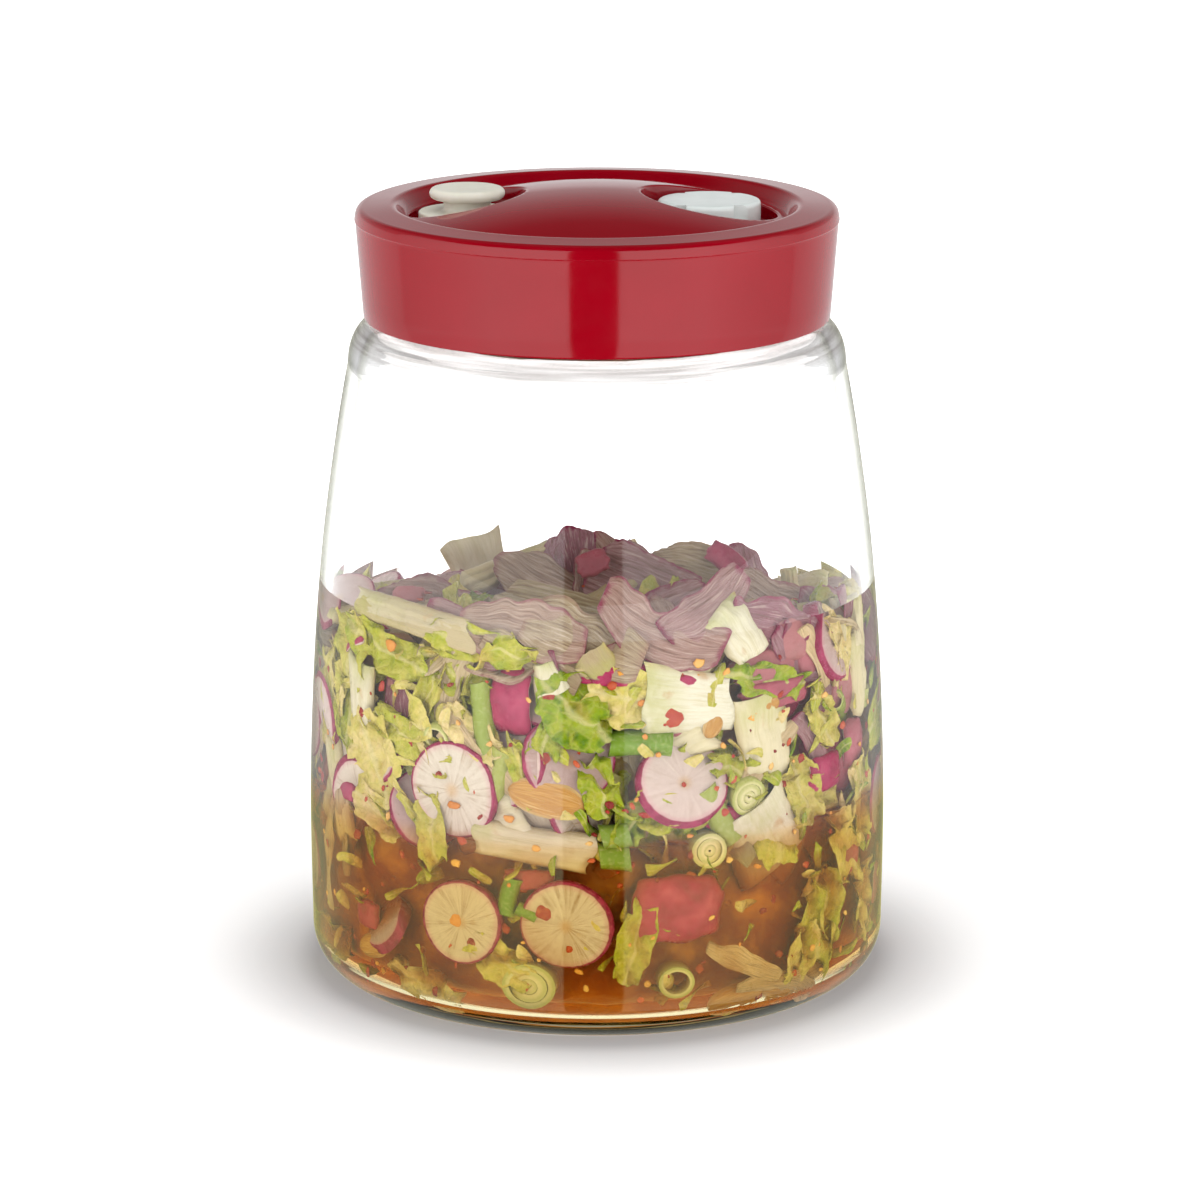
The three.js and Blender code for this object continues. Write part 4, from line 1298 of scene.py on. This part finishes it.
def top_one(matrix):
    draw = rand.random()
    if draw < 0.46:
        put("shred", flap(uniform(18, 32), uniform(10, 17)), matrix, uniform(0.1, 0.85))
    elif draw < 0.62:
        put("leaf", leaf(uniform(16, 26), uniform(10, 16), 1.2, uniform(0, 1.2)), matrix, uniform(0.2, 0.8))
    elif draw < 0.76:
        put("stem", stem(uniform(14, 24), uniform(7, 12), uniform(2.4, 3.6)), matrix, uniform(0.4, 1))
    elif draw < 0.90:
        put("radish", disc(uniform(8, 11), 2.2), matrix, uniform(0.6, 1))
    else:
        put("rind", rind(RADISH_RADIUS, uniform(8, 14), uniform(6, 10)), matrix, rand.random())


def crumbs(at_glass=420, shreds=340, on_heap=120):
    """Chili flakes, seeds and bits of leaf between the pieces, at the glass and on top."""
    for _ in range(at_glass):
        azimuth = uniform(-180, 180)
        height = uniform(6, 89 if abs(azimuth) < HIGH_AZIMUTH else 80)
        depth = abs(rand.gauss(0, 0.9))
        matrix = wall_matrix(azimuth, height, depth, uniform(0, 360), uniform(-25, 25), uniform(-25, 25))
        if rand.random() < 0.66:
            shape = chip(uniform(0.5, 1.7), 0.4, rand.choice((3, 4)))
            put("flake", shape, matrix, rand.random(), -CRUMB_ON_GLASS)
        else:
            put("seed", chip(uniform(0.5, 1.4), 0.7, 4), matrix, rand.random(), -CRUMB_ON_GLASS)
    for _ in range(shreds):
        azimuth = uniform(-180, 180)
        height = uniform(7, 86 if abs(azimuth) < HIGH_AZIMUTH else 80)
        depth = uniform(0.6, 3)
        matrix = wall_matrix(azimuth, height, depth, uniform(0, 360), uniform(-40, 40), uniform(-40, 40))
        put("crumb", shred(uniform(4, 12), uniform(0.9, 3.2), 0.5, 1.6, 4, 12), matrix, uniform(0, 0.9))
    for _ in range(on_heap):
        reach, turn = 58 * sqrt(rand.random()), uniform(0, 2 * pi)
        x, y = reach * sin(turn), -reach * cos(turn)
        matrix = lying_matrix(x, y, heap_top(x, y) + uniform(2, 6), uniform(0, 360))
        put("flake", chip(uniform(0.5, 1.6), 0.4, 4), matrix, rand.random())


def bubbles():
    """Small round bubbles that cling to the inside of the glass under the brine."""
    spots = [(40, 39), (-22, 29), (47, 15), (2, 35)]
    spots += [(uniform(-180, 180), uniform(9, 44)) for _ in range(BUBBLE_COUNT)]
    shape = Shape()
    levels = 7
    for azimuth, height in spots:
        radius = uniform(0.35, 0.85)
        matrix = wall_matrix(azimuth, height, radius * 0.6)
        rows = []
        for level in range(levels + 1):
            bend = pi * level / levels
            turns = around(12) if 0 < level < levels else [(0, 0)]
            places = [Vector((sin(bend) * x, sin(bend) * y, cos(bend))) * radius for x, y in turns]
            rows.append([shape.add(tuple(matrix @ place)) for place in places])
        shape.bridge(rows, True)
    body_piece(shape.build("brine_bubbles", bubble_material()), "pickle_heap")


# Studio

def light_card(name, side, start):
    """A tall curved white card round the jar's axis, which fades towards its far end."""
    reach, low, high, steps, end = 1500, -1050, 1250, 32, 108
    shape = Shape()
    rows = []
    for step in range(steps + 1):
        turn = radians(side * (start + (end - start) * step / steps))
        rows.append([shape.add((reach * sin(turn), -reach * cos(turn), height)) for height in (low, high)])
    shape.bridge(rows, True, False)
    graph = Graph(name)
    x, y, z = graph.axes(graph.place)
    azimuth = graph.math("ARCTAN2", graph.math("ABSOLUTE", x), graph.times(y, -1.0))
    edge = graph.range(azimuth, radians(start), radians(start + 0.8), 0.3, 1.0)
    far = graph.range(azimuth, radians(52), radians(end), 1.0, 0.42)
    share = graph.range(z, low, high)
    fall = graph.ramp(share, (0.25, 0.80), (0.30, 0.92), (0.37, 0.72), (0.44, 0.7), (0.50, 1.0))
    card = shape.build(name, graph.glow(fall, graph.times(graph.times(edge, far), CARD_GLOW)))
    card.visible_camera = card.visible_transmission = card.visible_shadow = False


def top_light():
    """A wide soft light overhead, seen only by diffuse surfaces."""
    half, height = 1300, 1900
    shape = Shape()
    shape.points = [(x * half, y * half, height) for x, y in ((-1, -1), (1, -1), (1, 1), (-1, 1))]
    shape.faces = [(3, 2, 1, 0)]
    card = shape.build("card_top", Graph("card_top").glow(WHITE, TOP_GLOW))
    card.visible_camera = card.visible_glossy = card.visible_transmission = False


def floor():
    """A white round table top. It glows, less near the jar, and its colour greys near the jar: a painted
    shadow round the jar, so that all else reads as white. Under the clear foot it glows more: painted light
    where real glass carries light down."""
    graph = Graph("white_floor_with_painted_shadow")
    middle = graph.vectors("LENGTH", graph.place)
    share = graph.times(graph.noise(0.02, 2.0), 0.004, graph.range(middle, 0, 500))
    # Painted shadow: the floor's colour darkens towards the jar
    colour = graph.ramp(share, (0.130, 0.44), (0.148, 0.60), (0.18, 0.75), (0.24, 0.79))
    # Glow: a painted shadow where it drops round the jar, and painted light under the clear foot
    fall = graph.ramp(share, (0.120, 0.8), (0.125, 0.12), (0.137, 0.06), (0.15, 0.18), (0.19, 0.38),
                      (0.28, 0.62), (0.5, 1.0))
    white = graph.surface({
        "Base Color": colour, "Roughness": 0.9, "Specular IOR Level": 0.0,
        "Emission Color": WHITE, "Emission Strength": graph.times(fall, BACKDROP)})
    made = lathe("floor", [(radius, 0) for radius in (3200, 1500, 700, 300, 150, 90, 60, 0)], 96, white, None)
    made.data.polygons.foreach_set("use_smooth", [False] * len(made.data.polygons))
    made.visible_glossy = False


def studio_world():
    """Through the glass white behind and grey above and in front, soft all round for diffuse
    light, and for reflections bright at the horizon behind, grey above it and dark in front."""
    graph = Graph("studio", True)
    bpy.context.scene.world = graph.owner
    x, y, z = graph.axes(graph.add("ShaderNodeTexCoord").outputs["Generated"])
    sideways = graph.math("ABSOLUTE", x)
    above = graph.blend(graph.range(sideways, 0.5, 0.9), graph.range(z, 0.24, 0.55, 0.62, 0.10), 0.5)
    behind = graph.blend(graph.range(z, 0.13, 0.20), 1.0, above)
    shine = graph.times(behind, graph.range(y, -0.1, 0.3))
    path = graph.add("ShaderNodeLightPath").outputs
    seen = graph.math("MAXIMUM", path["Is Camera Ray"], path["Is Transmission Ray"])
    soft = graph.blend(path["Is Glossy Ray"], 0.3, shine)
    ahead = graph.times(graph.range(y, 0.2, 0.7, 0.35, 1.0), graph.range(z, 0.05, 0.40, BACKDROP, 0.35))
    strength = graph.blend(seen, soft, ahead)
    graph.finish(graph.add("ShaderNodeBackground", {"Strength": strength}))


def camera():
    data = bpy.data.cameras.new("camera")
    data.lens = LENS
    data.sensor_width = 36
    data.clip_start, data.clip_end = 0.01, 50
    made = bpy.data.objects.new("camera", data)
    made.location = CAMERA_PLACE
    made.rotation_euler = (radians(90 - CAMERA_PITCH), 0, 0)
    bpy.context.scene.collection.objects.link(made)
    bpy.context.scene.camera = made


body_piece(glass_jar(), "glass_jar")
body_piece(lid_cap(), "lid_cap")
body_piece(vent_button(), "vent_button")
body_piece(valve_cap(), "valve_cap")
body_piece(brine(), "pickle_heap")
front_pieces()
wall_fill()
top_pieces()
crumbs()
for kind in KINDS.values():
    kind.join()
heap_core()
bubbles()
light_card("card_left", -1, 12.8)
light_card("card_right", 1, 10)
top_light()
floor()
studio_world()
camera()
scene = bpy.context.scene
scene.view_settings.view_transform = "Standard"
scene.cycles.transparent_max_bounces = 24
scene.cycles.max_bounces = 9
scene.cycles.diffuse_bounces = 2
scene.cycles.glossy_bounces = 4
scene.cycles.transmission_bounces = 9
